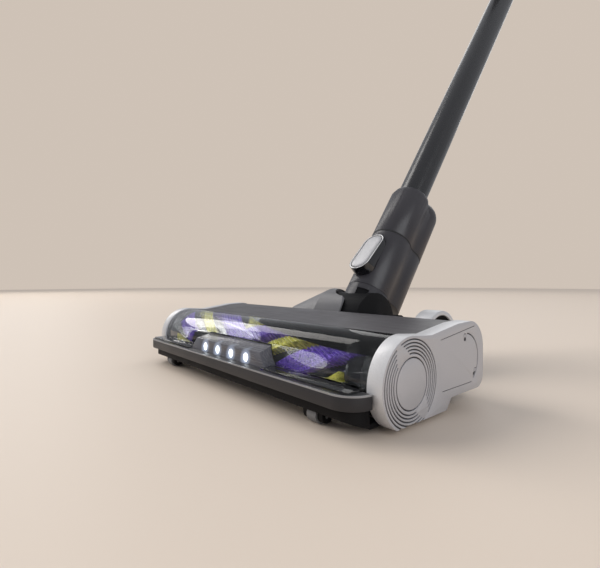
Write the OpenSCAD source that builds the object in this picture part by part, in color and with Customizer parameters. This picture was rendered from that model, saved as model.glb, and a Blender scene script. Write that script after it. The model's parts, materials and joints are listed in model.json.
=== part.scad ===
// Cordless stick vacuum: a floor head with a brush roller, a tilting neck, a wand and a hand unit.
// The head stands on the floor at z = 0 and faces -Y. The origin is under the middle of the whole.
// Head pieces are drawn with y = 0 on the brush axis. Wand and hand pieces are drawn in the wand's
// own frame: z runs up the wand from the tilt axis, and +y points to its underside.

/* [Floor head] */
// Length of the head over both end caps
head_len = 300; // [260:1:340]
// Thickness of each end cap
cap_t = 10.7; // [10:0.1:13]
// Outer wall of an end cap
cap_wall = 3; // [2:0.1:3.4]
// Radius of the end caps around the brush
cap_r = 27.7; // [27.4:0.1:29]
// Height of the brush axis above the floor
brush_z = 26.5; // [26:0.1:28]
// Height of the end caps' flat sole above the floor
sole_z = 3; // [2:0.1:4]
// Depth of the head behind the brush axis
head_rear = 89.2; // [86:0.1:92]
// Height of the head's rear top edge
head_top = 57.8; // [56:0.1:60]
// Radius of the rounded rear top edge
rear_top_r = 19.5; // [16:0.1:21]
// Radius of the lower rear edge
rear_low_r = 9; // [6:0.1:12]
// Depth of the low front part of the sole behind the brush axis
step_y = 38.3; // [36:0.1:40]
// Rise of the sole behind the step
step_rise = 7.2; // [6:0.1:8]
// How far the cover and window lie below the end caps' rims
skin_inset = 0.9; // [0.6:0.1:1.2]
// Thickness of the top cover and window
skin_t = 1.8; // [1.5:0.1:2]
// Distance behind the brush axis at which the window meets the cover
window_rear = 10; // [8:0.1:12]
// Thickness of the chassis end walls
side_t = 5.5; // [5:0.1:7]
// Thickness of the base plate
plate_t = 3; // [2.4:0.1:3.4]

/* [Brush roller] */
// Radius over the bristles
bristle_r = 24.5; // [23.5:0.1:24.6]
// Radius of the roller core
core_r = 16; // [14:0.1:18]
// Radius of the roller's end shaft
roller_shaft_r = 3.95; // [3:0.05:4.5]
// Outer radius of the ball bearing
bearing_r = 9.5; // [8:0.1:10.5]
// Width of the ball bearing
bearing_w = 5; // [4:0.1:5.5]
// Radius on which the end cap turns
cap_boss_r = 12; // [11:0.1:14]
// Radius of the drive hub's shaft
hub_shaft_r = 6; // [5:0.1:7]
// Corner radius of the hexagonal drive dog
dog_r = 8; // [7:0.1:9]
// Radius of the roller's belt pulley
roller_pulley_r = 12.2; // [10:0.1:13]
// Radius of the motor's belt pulley
motor_pulley_r = 6.1; // [5:0.1:8]
// Turn of the bristle strips over half the roller
bristle_turn = 150; // [90:5:200]

/* [Front] */
// Distance of the bumper's front from the brush axis
bumper_front = 44.5; // [42:0.1:48]
// Height of the bumper's lower edge
bumper_z = 16; // [14:0.1:17]
// Height of the bumper strip
bumper_h = 8.5; // [7.5:0.1:9.5]
// Half length of the bumper
bumper_half = 144; // [140:1:146]
// Corner radius of the bumper in plan
bumper_corner = 16; // [10:0.5:16]
// Half width of the headlight housing at its foot
light_half = 56.5; // [50:0.5:60]
// Half width of the headlight housing at its top
light_top_half = 46; // [40:0.5:48]
// Spacing of the headlights
light_pitch = 21; // [18:0.5:22]
// Radius of a headlight lens
lens_r = 3.4; // [3:0.1:3.8]
// Height of the gap under the sloping front edge
front_gap = 11; // [8:0.5:13]
// Radius of a front wheel
front_wheel_r = 5.5; // [5:0.1:6]
// Distance of each front wheel from its end of the head
front_wheel_in = 45; // [35:1:70]

/* [Hinge and rear wheels] */
// Distance of the tilt axis behind the brush axis
pivot_y = 122; // [121:0.1:126]
// Height of the tilt axis
pivot_z = 42; // [41:0.1:44]
// Radius of the hinge barrel
barrel_r = 31; // [30.5:0.1:32]
// Half length of the hinge barrel
barrel_half = 26.5; // [25:0.1:27]
// Radius of the hinge pins
pin_r = 6; // [5:0.1:6.5]
// Inner face of each rear arm
arm_in = 44; // [42:0.5:45]
// Thickness of each rear arm
arm_t = 11; // [9:0.5:12]
// Radius of the rear wheels
rear_wheel_r = 28.5; // [26:0.1:29]
// Distance of the rear axle behind the brush axis
axle_y = 150; // [149:0.5:154]
// Inner face of each rear wheel
rear_wheel_in = 66; // [60:0.5:68]
// Width of the rear wheels
rear_wheel_w = 18; // [16:1:24]
// Radius of the rear axles
axle_r = 4; // [3:0.1:5]
// Outer end of the hinge hood
hood_end = 97; // [90:1:100]
// Distance that the hood reaches past the middle in front of the barrel
hood_reach = 6.5; // [2:0.5:10]
// Radius of the hood's outer end
hood_end_r = 12; // [10:0.5:14]

/* [Neck and wand] */
// Lean of the wand from the vertical
wand_lean = 35.6; // [30:0.1:38]
// Smallest lean of the wand from the vertical
min_lean = 10; // [8:0.5:20]
// Radius of the wand tube
tube_r = 17.5; // [17:0.1:18]
// Wall of the wand tube
tube_wall = 2; // [1.5:0.1:2.2]
// Distance along the wand of the seam between neck and wand
seam_s = 108; // [106:0.5:112]
// Distance along the wand at which the lower collar's front ends
collar_end = 176; // [170:1:182]
// Distance along the wand at which the lower collar's rear lobe ends
dome_end = 188; // [184:1:194]
// Radius of the neck around the wand axis
front_lobe_r = 23.5; // [23:0.1:24.5]
// Radius of the neck's rear lobe
rear_lobe_r = 22; // [20:0.1:22.5]
// Distance from the wand axis to the rear lobe's axis
lobe_gap = 26; // [24:0.5:27]
// Radius of the soft valley between the lobes
valley_r = 20; // [12:1:30]
// Depth of the plug in its socket
plug_depth = 50; // [40:0.5:51]
// Distance along the wand at which the tube meets the hand unit
wand_top = 736; // [640:1:800]
// Radius of the wand's upper collar and the inlet tube
inlet_r = 22; // [21.5:0.1:22.5]

/* [Release button] */
// Length of the button
button_len = 50; // [42:0.5:50]
// Width of the button
button_w = 20; // [16:0.5:20.5]
// Rim of the pod around the button
pod_rim = 3; // [2.5:0.1:3.5]
// Distance along the wand of the button's middle
button_s = 72.5; // [71:0.5:74]
// Distance of the pod's face from the wand axis
pod_out = 29; // [28.5:0.1:31]
// Lean of the pod's face
pod_lean = 10; // [6:0.5:11]
// Travel of the button
button_travel = 2; // [1:0.1:2]

/* [Hand unit] */
// Radius of the dust bin
bin_r = 50; // [46:0.5:52]
// Wall of the dust bin
bin_wall = 2; // [1.6:0.1:2.4]
// Length of the dust bin
bin_len = 153; // [145:1:170]
// Gap between the wand's end and the bin door
bin_start = 34; // [30:0.5:40]
// Radius of the motor housing
body_r = 52; // [50:0.5:54]
// Length of the motor housing
body_len = 119; // [117:0.5:125]
// Wall of the motor housing
body_wall = 2.5; // [2:0.1:3]
// Radius of the suction motor
motor_r = 32; // [28:0.5:34]
// Length of the filter cap
cap_len = 22; // [18:0.5:26]
// Radius of the mesh shroud
shroud_r = 33; // [30:0.5:36]
// Distance from the housing's front to the grip
grip_gap = 73; // [70:0.5:76]
// Depth of the grip from front to back
grip_depth = 40; // [38:0.5:42]
// Width of the grip
grip_w = 30; // [28:0.5:34]
// Distance from the wand axis to the grip's foot
grip_end = 100; // [95:0.5:110]
// Wall of the grip
grip_wall = 2.5; // [2:0.1:3]
// Travel of the trigger
trigger_travel = 6; // [3:0.5:6]
// Length of the battery pack
battery_len = 87; // [84:0.5:95]
// Width of the battery pack
battery_w = 63; // [62:0.5:70]
// Height of the battery pack
battery_h = 48; // [47:0.5:55]
// Radius of the charging socket
socket_r = 2.9; // [2.5:0.05:3.2]
// Depth of the charging socket
socket_depth = 12; // [8:0.5:12]

/* [Fits] */
// Radial clearance of a shaft in its bearing
run_fit = 0.05; // [0.03:0.01:0.1]
// Clearance of a push fit
push_fit = 0.1; // [0.05:0.01:0.15]
// Gap between fixed pieces that meet
seam = 0.3; // [0.2:0.05:0.4]
// Gap around moving covers, buttons and drives
play = 0.4; // [0.3:0.05:0.5]

/* [Hidden] */
$fn = 96;
// Overcut that keeps subtracted faces off the faces they open
cut = 1;
// Larger than the head, for trimming blocks
big = 400;

// Along the head
end_x = head_len / 2 - cap_t;
wall_out = end_x - seam;
wall_in = wall_out - side_t;
roller_end = wall_in - 2;
plug_face = wall_in - 1.1;
pulley_x = end_x + 1.6;
pulley_w = 4.6;
flange_t = 0.6;

// Grooves in the end caps
groove_w = 0.9;
groove_t = 0.7;
disc_r = 15.6;
grip_arc_r = 18.2;

// Around the brush
chamber_r = cap_r - skin_inset - skin_t;
chamber_wall = 2.2;
hole_r = chamber_r - push_fit;
plug_r = hole_r - push_fit;
rear_z = sole_z + step_rise;
dip_y = 20;
dip_z = 52.6;
dip_end_y = 52.7;
step_run = 6.3;
motor_y = 58;
motor_z = 33;
motor_case_r = 15;
motor_case_len = 66;
motor_shaft_r = 2.5;
slot_rear = 15;
boss_top = 17.5;
front_screw_y = step_y + step_run + 5.4;
rear_screw_y = head_rear - 13.2;
slot_end = 13;
duct_half = 24;
duct_wall = 2.5;
duct_low = 13.6;
duct_high = 47;

// Front
bumper_top = bumper_z + bumper_h;
front_wheel_x = head_len / 2 - front_wheel_in;
beam_front = bumper_front - (bumper_half - wall_out);
beam_rear = 24.5;
flange_front = bumper_front - 4;
flange_h = 1.5;
light_foot_y = 37;
light_face_z = 34.5;
light_top_z = 38.2;
lens_z = 28.8;
front_wheel_y = 32;
front_wheel_w = 8;
front_axle_r = 1.5;
front_wheel_room = front_wheel_w / 2 + play;
fork_t = 4;
fork_r = 4.3;
beam_z = sole_z + 1.2;

// Rear
axle_z = rear_wheel_r;
barrel_wall = 3.5;
arm_out = arm_in + arm_t;
rim_t = 4.5;
hub_recess = 6;
hood_wall = 2;
hood_in = barrel_half + 1;
hood_in_r = barrel_r + 3.5;
hood_low = 8;
hood_corner_r = 12;
hood_corner_z = 17;
swivel_r = 20.5;
collar_r = front_lobe_r;
collar_low = 15;
collar_top = hood_in_r + 0.5;
neck_start = collar_top + play;
spigot_low = 20;
slot_low = 158;
slot_high = 246;
notch_turn = 28;
notch_s = 25;
notch_w = 13;
notch_h = 8;
notch_t = 1.5;

// Wand
bore_r = tube_r - tube_wall;
plug_or = tube_r - push_fit;
tube_low = seam_s + 14;
dome_s = dome_end - rear_lobe_r;
collar_bevel = 6;
contact_w = 17;
contact_t = 13;
tube_seat = 20;
upper_collar_len = 36;
upper_plug = 40;
rib_r = 11;
rib_y = 17;
tongue_len = 24;
tongue_w = 12;
tongue_t = 5.6;
tongue_y = 22.5;
button_depth = 3;
pod_depth = 16;
spring_y = -12;
spring_r = 3.8;
spring_depth = 9.6;

// Hand unit, in the wand's frame
inlet_s = wand_top + seam;
bin_s = wand_top + bin_start;
bin_end = bin_s + bin_len;
inlet_end = bin_end - 18;
axis_gap = inlet_r + bin_r + 5;
body_s = bin_end + 2;
body_end = body_s + body_len;
port_s = inlet_end - 36;
port_len = 20;
port_half = 12;
shroud_s = port_s - 22;
shroud_top = bin_end - 14;
outlet_r = 14;
outlet_len = 40;
inlet_button_len = 22;
inlet_button_w = 10;
door_t = 4;
hinge_y = bin_r + 2;
hinge_s = bin_s - 1.8;
hinge_r = 1.5;
ear_in = 13;
ear_t = 3;
knuckle_t = 7;
latch_y = -bin_r - 4;
latch_s = bin_s + 14;
bracket_end = body_s + 15;
bracket_half = 15;
bracket_low = 12;
fan_s = body_s + 25;
fan_len = 12;
motor_s = fan_s + fan_len + 4;
rear_filter_len = 20;
rear_filter_s = body_end - rear_filter_len - 4;
motor_len = rear_filter_s - 5 - motor_s;
mount_s = motor_s + 14;
mount_t = 10;
pod_r = 25.5;
pod_s = body_end + 2;
pod_end = body_end + cap_len;
pod_post_r = 12;
grip_s = body_s + grip_gap;
grip_mid = grip_s + grip_depth / 2;
foot_t = 8;
foot_half = 24;
battery_s = grip_mid - battery_len / 2 - 10;
battery_end = battery_s + battery_len;
battery_low = grip_end + seam;
battery_high = battery_low + battery_h;
battery_latch_w = 20;
battery_latch_h = 14;
battery_latch_low = battery_low + 6;
cell_r = 9.1;
cell_len = 65;
cell_pitch = 19.5;
trigger_w = 13;
trigger_low = body_r - axis_gap + 17;
trigger_high = trigger_low + 26;
trigger_mid = (trigger_low + trigger_high) / 2;
trigger_lip = 6;
trigger_root = 5;
trigger_scoop_r = 16;
board_s = grip_s + trigger_root + trigger_travel + 7;
board_t = 1.6;

// The whole stands with the middle of its depth over the origin
rear_reach = pivot_y + battery_end * sin(wand_lean) + battery_high * cos(wand_lean);
middle_y = (rear_reach - bumper_front) / 2;

// ---- Frames and shared shapes ----

// Head frame: y = 0 on the brush axis
module on_head() {
  translate([0, -middle_y, 0]) children();
}

// Wand frame: z up the wand from the tilt axis, +y to the underside
module on_wand() {
  on_head() translate([0, pivot_y, pivot_z]) rotate([-wand_lean, 0, 0]) children();
}

// Bin frame: z along the axis that the bin, motor and filters share
module on_bin() {
  on_wand() translate([0, -axis_gap, 0]) children();
}

// Button frame: z out of the pod's face, y up the wand
module on_button() {
  on_wand() translate([0, -pod_out, button_s]) rotate([90 - pod_lean, 0, 0]) children();
}

// Stands a (y, z) outline up and runs it along x from low to high
module along_x(low, high) {
  translate([low, 0, 0]) rotate([90, 0, 90]) linear_extrude(high - low) children();
}

// A round bar along x at (y, z)
module x_bar(r, y, z, low, high) {
  translate([low, y, z]) rotate([0, 90, 0]) cylinder(r = r, h = high - low);
}

// A block between two corners
module block(low, high) {
  translate(low) cube(high - low);
}

// Side view of the head, shrunk inwards by e
module side_outline(e = 0) {
  difference() {
    union() {
      translate([0, brush_z]) circle(r = cap_r - e);
      translate([head_rear - rear_top_r, head_top - rear_top_r]) circle(r = rear_top_r - e);
      translate([head_rear - rear_low_r, rear_z + rear_low_r]) circle(r = rear_low_r - e);
      polygon([
        [0, sole_z + e],
        [step_y - e / 2, sole_z + e],
        [step_y + step_run - e / 2, rear_z + e],
        [head_rear - rear_low_r, rear_z + e],
        [head_rear - e, rear_z + rear_low_r],
        [head_rear - e, head_top - rear_top_r],
        [head_rear - rear_top_r, head_top - e],
        [dip_end_y, head_top - 0.6 - e],
        [dip_y, dip_z - e],
        [0, brush_z + cap_r - e]
      ]);
    }
    translate([-big / 2, sole_z + e - big]) square([big, big]);
  }
}

// Everything above the base plate, in side view
module above_plate() {
  low = sole_z + plate_t + seam;
  high = rear_z + plate_t + seam;
  polygon([
    [-big, low], [step_y - 1, low], [step_y + step_run - 1, high], [big, high], [big, big], [-big, big]
  ]);
}

// Points along an arc about a centre
function arc(middle, r, from, to, steps) =
  [for (i = [0 : steps]) let (a = from + (to - from) * i / steps) middle + r * [cos(a), sin(a)]];

// Outline of a belt around the roller's pulley and the motor's pulley
module belt_outline(r1, r2) {
  run = norm([motor_y, motor_z - brush_z]);
  turn = atan2(motor_z - brush_z, motor_y);
  lean = acos((r1 - r2) / run);
  polygon(concat(
    arc([0, brush_z], r1, turn + lean, turn + 360 - lean, 20),
    arc([motor_y, motor_z], r2, turn - lean, turn + lean, 12)
  ));
}

// A stadium of length len along y and width w
module stadium(len, w) {
  for (side = [-1, 1]) translate([0, side * (len - w) / 2]) circle(r = w / 2);
  square([w, len - w], center = true);
}

// A wedge about a centre between two angles, longer than any radius on the end caps
module sector(middle, from, to) {
  polygon(concat([middle], arc(middle, head_rear, from, to, 6)));
}

// A thin ring about a centre between two angles
module arc_band(middle, r, t, from, to) {
  intersection() {
    translate(middle) difference() {
      circle(r = r);
      circle(r = r - t);
    }
    sector(middle, from, to);
  }
}

// Fills the two creases between the neck's lobes up to arcs that meet both of them smoothly
module valleys() {
  to_front = front_lobe_r + valley_r;
  to_rear = rear_lobe_r + valley_r;
  y = (to_front * to_front - to_rear * to_rear + lobe_gap * lobe_gap) / (2 * lobe_gap);
  x = sqrt(to_front * to_front - y * y);
  front = [x, y] * front_lobe_r / to_front;
  rear = [0, lobe_gap] + [x, y - lobe_gap] * rear_lobe_r / to_rear;
  difference() {
    polygon([[0, 0], front, rear, [0, lobe_gap], [-rear[0], rear[1]], [-front[0], front[1]]]);
    for (side = [-1, 1]) translate([side * x, y]) circle(r = valley_r);
  }
}

// Cross-section of the neck
module lobes() {
  circle(r = front_lobe_r);
  translate([0, lobe_gap]) circle(r = rear_lobe_r);
  valleys();
}

// Cross-section of the upper collar and inlet: a round with a rib on the underside
module ribbed_round(e = 0) {
  circle(r = inlet_r - e);
  translate([0, rib_y]) circle(r = rib_r - e);
}

module tube(outer, inner, low, high) {
  translate([0, 0, low]) difference() {
    cylinder(r = outer, h = high - low);
    translate([0, 0, -cut]) cylinder(r = inner, h = high - low + 2 * cut);
  }
}

module rod(r, low, high) {
  translate([0, 0, low]) cylinder(r = r, h = high - low);
}

// ---- Head: casing ----

// Black sole with the suction slot, and the beam behind the bumper that holds the front wheels
module base_plate() {
  color("#17171a") on_head() difference() {
    union() {
      along_x(-wall_out, wall_out) polygon([
        [-beam_rear, sole_z + push_fit],
        [step_y, sole_z + push_fit],
        [step_y + step_run, rear_z + push_fit],
        [head_rear - rear_low_r, rear_z + push_fit],
        [head_rear - rear_low_r, rear_z + plate_t],
        [step_y + step_run - 1, rear_z + plate_t],
        [step_y - 1, sole_z + plate_t],
        [-beam_rear, sole_z + plate_t]
      ]);
      difference() {
        front_beam();
        along_x(-big, big) polygon([
          [-beam_rear - 2.5, -cut],
          [-beam_rear - 2.5, beam_z],
          [-bumper_front, front_gap],
          [-big, front_gap],
          [-big, -cut]
        ]);
      }
      for (side = [-1, 1]) front_fork(side * front_wheel_x);
    }
    block(
      [-wall_in + slot_end, -beam_rear, 0],
      [wall_in - slot_end, slot_rear, sole_z + plate_t + cut]
    );
    x_bar(chamber_r, 0, brush_z, -wall_in, wall_out + cut);
    for (side = [-1, 1]) front_wheel_well(side * front_wheel_x);
    screw_places() cylinder(r = 1.55, h = big, center = true);
    screw_places() translate([0, 0, rear_z - cut]) cylinder(r = 3.1, h = 1.6 + cut);
  }
}

// Beam behind the bumper, before its underside is sloped
module front_beam() {
  translate([0, 0, beam_z]) linear_extrude(bumper_z - beam_z) bumper_plan(bumper_half - wall_out);
  block([-wall_out, -bumper_front + bumper_corner, beam_z], [wall_out, -beam_rear, bumper_z]);
}

// Two cheeks under the beam that hold a front wheel's axle
module front_fork(x) {
  half = front_wheel_room + fork_t;
  x_bar(fork_r, -front_wheel_y, front_wheel_r, x - half, x + half);
  block(
    [x - half, -front_wheel_y - fork_r, front_wheel_r],
    [x + half, -front_wheel_y + fork_r, bumper_z - 1]
  );
}

// Room for a front wheel and its axle
module front_wheel_well(x) {
  room = front_wheel_room;
  block(
    [x - room, -front_wheel_y - front_wheel_r - play, -cut],
    [x + room, -front_wheel_y + front_wheel_r + play, 2 * front_wheel_r + play]
  );
  x_bar(front_axle_r + run_fit, -front_wheel_y, front_wheel_r, x - room - fork_t, x + room + fork_t);
}

// Six screws hold the base plate to bosses on the chassis end walls and air duct
module screw_places() {
  for (side = [-1, 1]) {
    for (y = [front_screw_y, rear_screw_y]) translate([side * (wall_in - 3), y, 0]) children();
    translate([side * (duct_half + 3), rear_screw_y, 0]) children();
  }
}

module base_screws() {
  color("#8d9095") on_head() screw_places() {
    translate([0, 0, rear_z + 0.1]) cylinder(r = 3, h = 1.5);
    translate([0, 0, rear_z + 1.6]) cylinder(r = 1.5, h = 5);
  }
}

// End walls, brush chamber, air duct, screw bosses and the two rear arms
module chassis() {
  color("#232327") on_head() difference() {
    union() {
      intersection() {
        union() {
          along_x(-wall_out, -wall_in) side_outline(skin_inset + skin_t + push_fit);
          along_x(wall_in, wall_out) intersection() {
            side_outline(skin_inset + skin_t + push_fit);
            translate([window_rear, 0]) square([big, big]);
          }
          along_x(-wall_in, wall_in) intersection() {
            translate([0, brush_z]) circle(r = chamber_r + chamber_wall);
            translate([window_rear + 1.2, 0]) square([big, brush_z + chamber_r - 3]);
          }
          block([-duct_half, window_rear + 6, duct_low], [duct_half, pivot_y - 12, duct_high]);
          intersection() {
            screw_places() cylinder(r = 4, h = boss_top);
            block([-big, -big, rear_z], [big, big, boss_top]);
          }
        }
        along_x(-big, big) above_plate();
      }
      for (side = [-1, 1]) arm(side);
    }
    x_bar(chamber_r, 0, brush_z, -wall_in, wall_in);
    x_bar(hole_r, 0, brush_z, wall_in - cut, wall_out + cut);
    x_bar(hub_shaft_r + run_fit, 0, brush_z, -wall_out - cut, -wall_in + cut);
    x_bar(motor_shaft_r + 1, motor_y, motor_z, -wall_out - cut, -wall_in + cut);
    block(
      [-duct_half + duct_wall, window_rear, duct_low + duct_wall],
      [duct_half - duct_wall, pivot_y, duct_high - duct_wall]
    );
    x_bar(barrel_r + play, pivot_y, pivot_z, -duct_half - cut, duct_half + cut);
    screw_places() translate([0, 0, rear_z]) cylinder(r = 1.55, h = 6.8);
  }
}

// One rear arm: it runs from the chassis past the hinge pin to the wheel axle
module arm_outline(e = 0) {
  root_y = 66;
  root_low = rear_z + plate_t + seam;
  translate([pivot_y, pivot_z]) circle(r = pin_r + 4.5 + e);
  translate([axle_y, axle_z]) circle(r = axle_r + 5 + e);
  polygon([
    [root_y, root_low - e],
    [pivot_y - 12, root_low - e],
    [axle_y - 3, axle_z - axle_r - 4 - e],
    [axle_y + 2, axle_z + axle_r + 4 + e],
    [pivot_y + 5, pivot_z + pin_r + 4 + e],
    [pivot_y - 4, pivot_z + pin_r + 4 + e],
    [root_y, duct_high - 2 + e]
  ]);
}

module arm(side) {
  mirror([side < 0 ? 1 : 0, 0, 0]) difference() {
    union() {
      along_x(arm_in, arm_out) arm_outline();
      block([duct_half - cut, 66, rear_z + plate_t + seam], [arm_in + cut, 70, duct_high - 2]);
    }
    x_bar(pin_r + run_fit, pivot_y, pivot_z, arm_in - cut, arm_out + cut);
    x_bar(axle_r, axle_y, axle_z, arm_in + 2, arm_out + cut);
  }
}

module top_cover() {
  color("#4b494d") on_head() difference() {
    along_x(-wall_out, wall_out) intersection() {
      difference() {
        side_outline(skin_inset);
        side_outline(skin_inset + skin_t);
      }
      translate([window_rear, rear_z + plate_t + seam]) square([big, big]);
    }
    x_bar(barrel_r + cut, pivot_y, pivot_z, -barrel_half - 1.5, barrel_half + 1.5);
    block([-arm_out - 2, head_rear - 12, 0], [arm_out + 2, head_rear + cut, duct_high + 2]);
  }
}

// Clear quarter tube over the roller with a foot on the bumper, notched around the headlights
module brush_window() {
  color("#cfe2ea", 0.35) on_head() difference() {
    union() {
      along_x(-wall_out, wall_out) intersection() {
        difference() {
          side_outline(skin_inset);
          side_outline(skin_inset + skin_t);
        }
        translate([-big + window_rear - seam, bumper_top]) square([big, big]);
      }
      block(
        [-wall_out + 2, -flange_front, bumper_top],
        [wall_out - 2, -chamber_r - 0.6, bumper_top + flange_h]
      );
    }
    intersection() {
      along_x(-light_half - seam, light_half + seam) light_profile(seam);
      light_taper(seam);
    }
    block(
      [-light_half - seam, -flange_front - cut, bumper_top - cut],
      [light_half + seam, -light_foot_y + 4, bumper_top + flange_h + 0.5]
    );
  }
}

// ---- Head: bumper and headlights ----

module bumper_plan(e = 0) {
  half = bumper_half - e;
  intersection() {
    union() {
      for (side = [-1, 1]) {
        translate([side * (bumper_half - bumper_corner), -bumper_front + bumper_corner])
          circle(r = bumper_corner - e);
      }
      translate([-bumper_half + bumper_corner, -bumper_front + e])
        square([2 * (bumper_half - bumper_corner), bumper_corner]);
      translate([-half, -bumper_front + bumper_corner]) square([2 * half, bumper_front]);
    }
    translate([-half, -bumper_front]) square([2 * half, bumper_front - cap_r - seam]);
  }
}

module front_bumper() {
  color("#3f3e42") on_head() difference() {
    translate([0, 0, bumper_z]) linear_extrude(bumper_h) bumper_plan();
    block(
      [-wall_out + 4, -beam_front - 1, bumper_z - cut],
      [wall_out - 4, -cap_r - 3, bumper_top - 2.5]
    );
  }
}

// Side view of the headlight housing, grown by e
module light_profile(e = 0) {
  difference() {
    polygon([
      [-light_foot_y - e, bumper_top],
      [-light_foot_y + 1.6 - e, light_face_z + e],
      [-chamber_r + 2.5, light_top_z + e],
      [0, light_top_z + e],
      [0, bumper_top]
    ]);
    translate([0, brush_z]) circle(r = chamber_r - (e > 0 ? 2 : 0));
  }
}

// Front view of the housing: narrower at the top
module light_taper(e = 0) {
  rotate([90, 0, 0]) linear_extrude(big, center = true) polygon([
    [-light_half - e, bumper_top - cut],
    [light_half + e, bumper_top - cut],
    [light_half + e, bumper_top],
    [light_top_half + e, light_top_z + e],
    [-light_top_half - e, light_top_z + e],
    [-light_half - e, bumper_top]
  ]);
}

module light_places() {
  for (i = [-1.5 : 1 : 1.5]) {
    translate([i * light_pitch, -light_foot_y + 0.7, lens_z]) rotate([-90, 0, 0]) children();
  }
}

module light_housing() {
  color("#66656a") on_head() difference() {
    intersection() {
      along_x(-light_half, light_half) light_profile();
      light_taper();
    }
    block(
      [-2 * light_pitch, -light_foot_y + 3, bumper_top + 1],
      [2 * light_pitch, -light_foot_y + 6.4, light_face_z - 1.4]
    );
    light_places() translate([0, 0, -cut]) cylinder(r = lens_r + run_fit, h = 4.4 + cut);
  }
}

module light_lenses() {
  color("#f4faff") on_head() light_places() translate([0, 0, 0.4]) cylinder(r = lens_r, h = 3.4);
}

module light_board() {
  color("#2c5f3a") on_head() block(
    [-2 * light_pitch + 0.5, -light_foot_y + 4.7, bumper_top + 1.3],
    [2 * light_pitch - 0.5, -light_foot_y + 6.2, light_face_z - 1.7]
  );
}

// ---- Head: end caps ----

// Concentric rings around the brush axis, broken into two groups with stepped ends, and one
// full ring inside them
module ring_grooves() {
  middle = [0, brush_z];
  step = 2;
  stagger = 4;
  for (i = [0 : 4]) {
    r = cap_r - 1.6 - i * step;
    arc_band(middle, r, groove_w, -50 + i * stagger, 115 - i * stagger);
    arc_band(middle, r, groove_w, 125 + i * stagger, 300 - i * stagger);
  }
  arc_band(middle, disc_r, groove_w, 0, 360);
}

// Outer shape of an end cap, with an arc cut in beside its rounded rear
module cap_solid() {
  difference() {
    along_x(end_x, head_len / 2) side_outline();
    along_x(head_len / 2 - groove_t, head_len / 2 + cut) {
      ring_grooves();
      arc_band([head_rear - 25.9, head_top - 25.7], grip_arc_r, groove_w, -52, 84);
    }
  }
}

// The right cap turns on the bearing plug's boss from locked to unlocked
module right_end_cap() {
  color("#a6a6aa") on_head() difference() {
    cap_solid();
    difference() {
      along_x(end_x - cut, head_len / 2 - cap_wall) side_outline(cap_wall);
      x_bar(cap_boss_r + 3, 0, brush_z, end_x - 2 * cut, head_len / 2);
    }
    x_bar(cap_boss_r + run_fit, 0, brush_z, end_x - cut, head_len / 2 - cap_wall);
  }
}

// The left cap covers the belt drive
module left_end_cap() {
  color("#a6a6aa") on_head() mirror([1, 0, 0]) difference() {
    cap_solid();
    along_x(end_x - cut, head_len / 2 - cap_wall) side_outline(cap_wall);
  }
}

// ---- Brush roller and its drive ----

module roller_core() {
  color("#2a282e") on_head() difference() {
    union() {
      x_bar(core_r, 0, brush_z, -roller_end, roller_end);
      for (side = [-1, 1], i = [0 : 3]) {
        x = side * (roller_end - 2 - 4 * i);
        x_bar(bristle_r - 1 - i / 2, 0, brush_z, x - 1.2, x + 1.2);
      }
      x_bar(roller_shaft_r, 0, brush_z, roller_end - cut, plug_face + 0.2 + bearing_w);
    }
    translate([-roller_end - cut, 0, brush_z]) rotate([0, 90, 0])
      cylinder(r = dog_r + play, h = 16 + cut, $fn = 6);
    x_bar(core_r - 3, 0, brush_z, -roller_end + 20, roller_end - 6);
  }
}

// Bristle strips wind one way on the left half and the other way on the right
module bristle_strips(start, width, count) {
  half = roller_end - 17;
  inner = core_r + push_fit;
  for (side = [0, 1]) {
    translate([0, 0, brush_z]) mirror([side, 0, 0]) rotate([0, 90, 0])
      linear_extrude(half, twist = bristle_turn, slices = 14, segments = 4)
        for (i = [0 : count - 1]) rotate(start + i * 360 / count) bristle_fan(inner, width);
  }
}

// Cross-section of one strip: a fan of the given angle
module bristle_fan(inner, width) {
  reach = inner / cos(width / 2);
  polygon([
    reach * [cos(width / 2), -sin(width / 2)],
    bristle_r * [cos(width / 2), -sin(width / 2)],
    bristle_r * [cos(width / 2), sin(width / 2)],
    reach * [cos(width / 2), sin(width / 2)]
  ]);
}

module purple_bristles() {
  color("#6f4bb0") on_head() bristle_strips(0, 44, 3);
}

module green_bristles() {
  color("#a9a53a") on_head() bristle_strips(60, 26, 3);
}

// Carries the roller's right end and the turning end cap, and pulls out with them
module bearing_plug() {
  color("#1d1d20") on_head() difference() {
    union() {
      x_bar(plug_r, 0, brush_z, plug_face, wall_out);
      x_bar(cap_boss_r, 0, brush_z, wall_out - cut, end_x + 5.5);
    }
    x_bar(bearing_r, 0, brush_z, plug_face - cut, plug_face + 0.2 + bearing_w);
    x_bar(roller_shaft_r + 1, 0, brush_z, plug_face, plug_face + 2 + bearing_w);
  }
}

module roller_bearing() {
  color("#c3c5c9") on_head() difference() {
    x_bar(bearing_r, 0, brush_z, plug_face + 0.2, plug_face + 0.2 + bearing_w);
    x_bar(roller_shaft_r + run_fit, 0, brush_z, plug_face - cut, plug_face + 1 + bearing_w + cut);
  }
}

// A flanged pulley on the left end, between x and x + pulley_w measured outwards
module pulley(r, y, z) {
  x_bar(r, y, z, -pulley_x - pulley_w, -pulley_x);
  x_bar(r + 1, y, z, -pulley_x - flange_t, -pulley_x);
  x_bar(r + 1, y, z, -pulley_x - pulley_w, -pulley_x - pulley_w + flange_t);
}

module drive_hub() {
  color("#3a3a3f") on_head() {
    pulley(roller_pulley_r, 0, brush_z);
    x_bar(hub_shaft_r, 0, brush_z, -pulley_x - cut, -wall_in + seam);
    translate([-wall_in + seam, 0, brush_z]) rotate([0, 90, 0]) cylinder(r = dog_r, h = 16, $fn = 6);
  }
}

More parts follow.
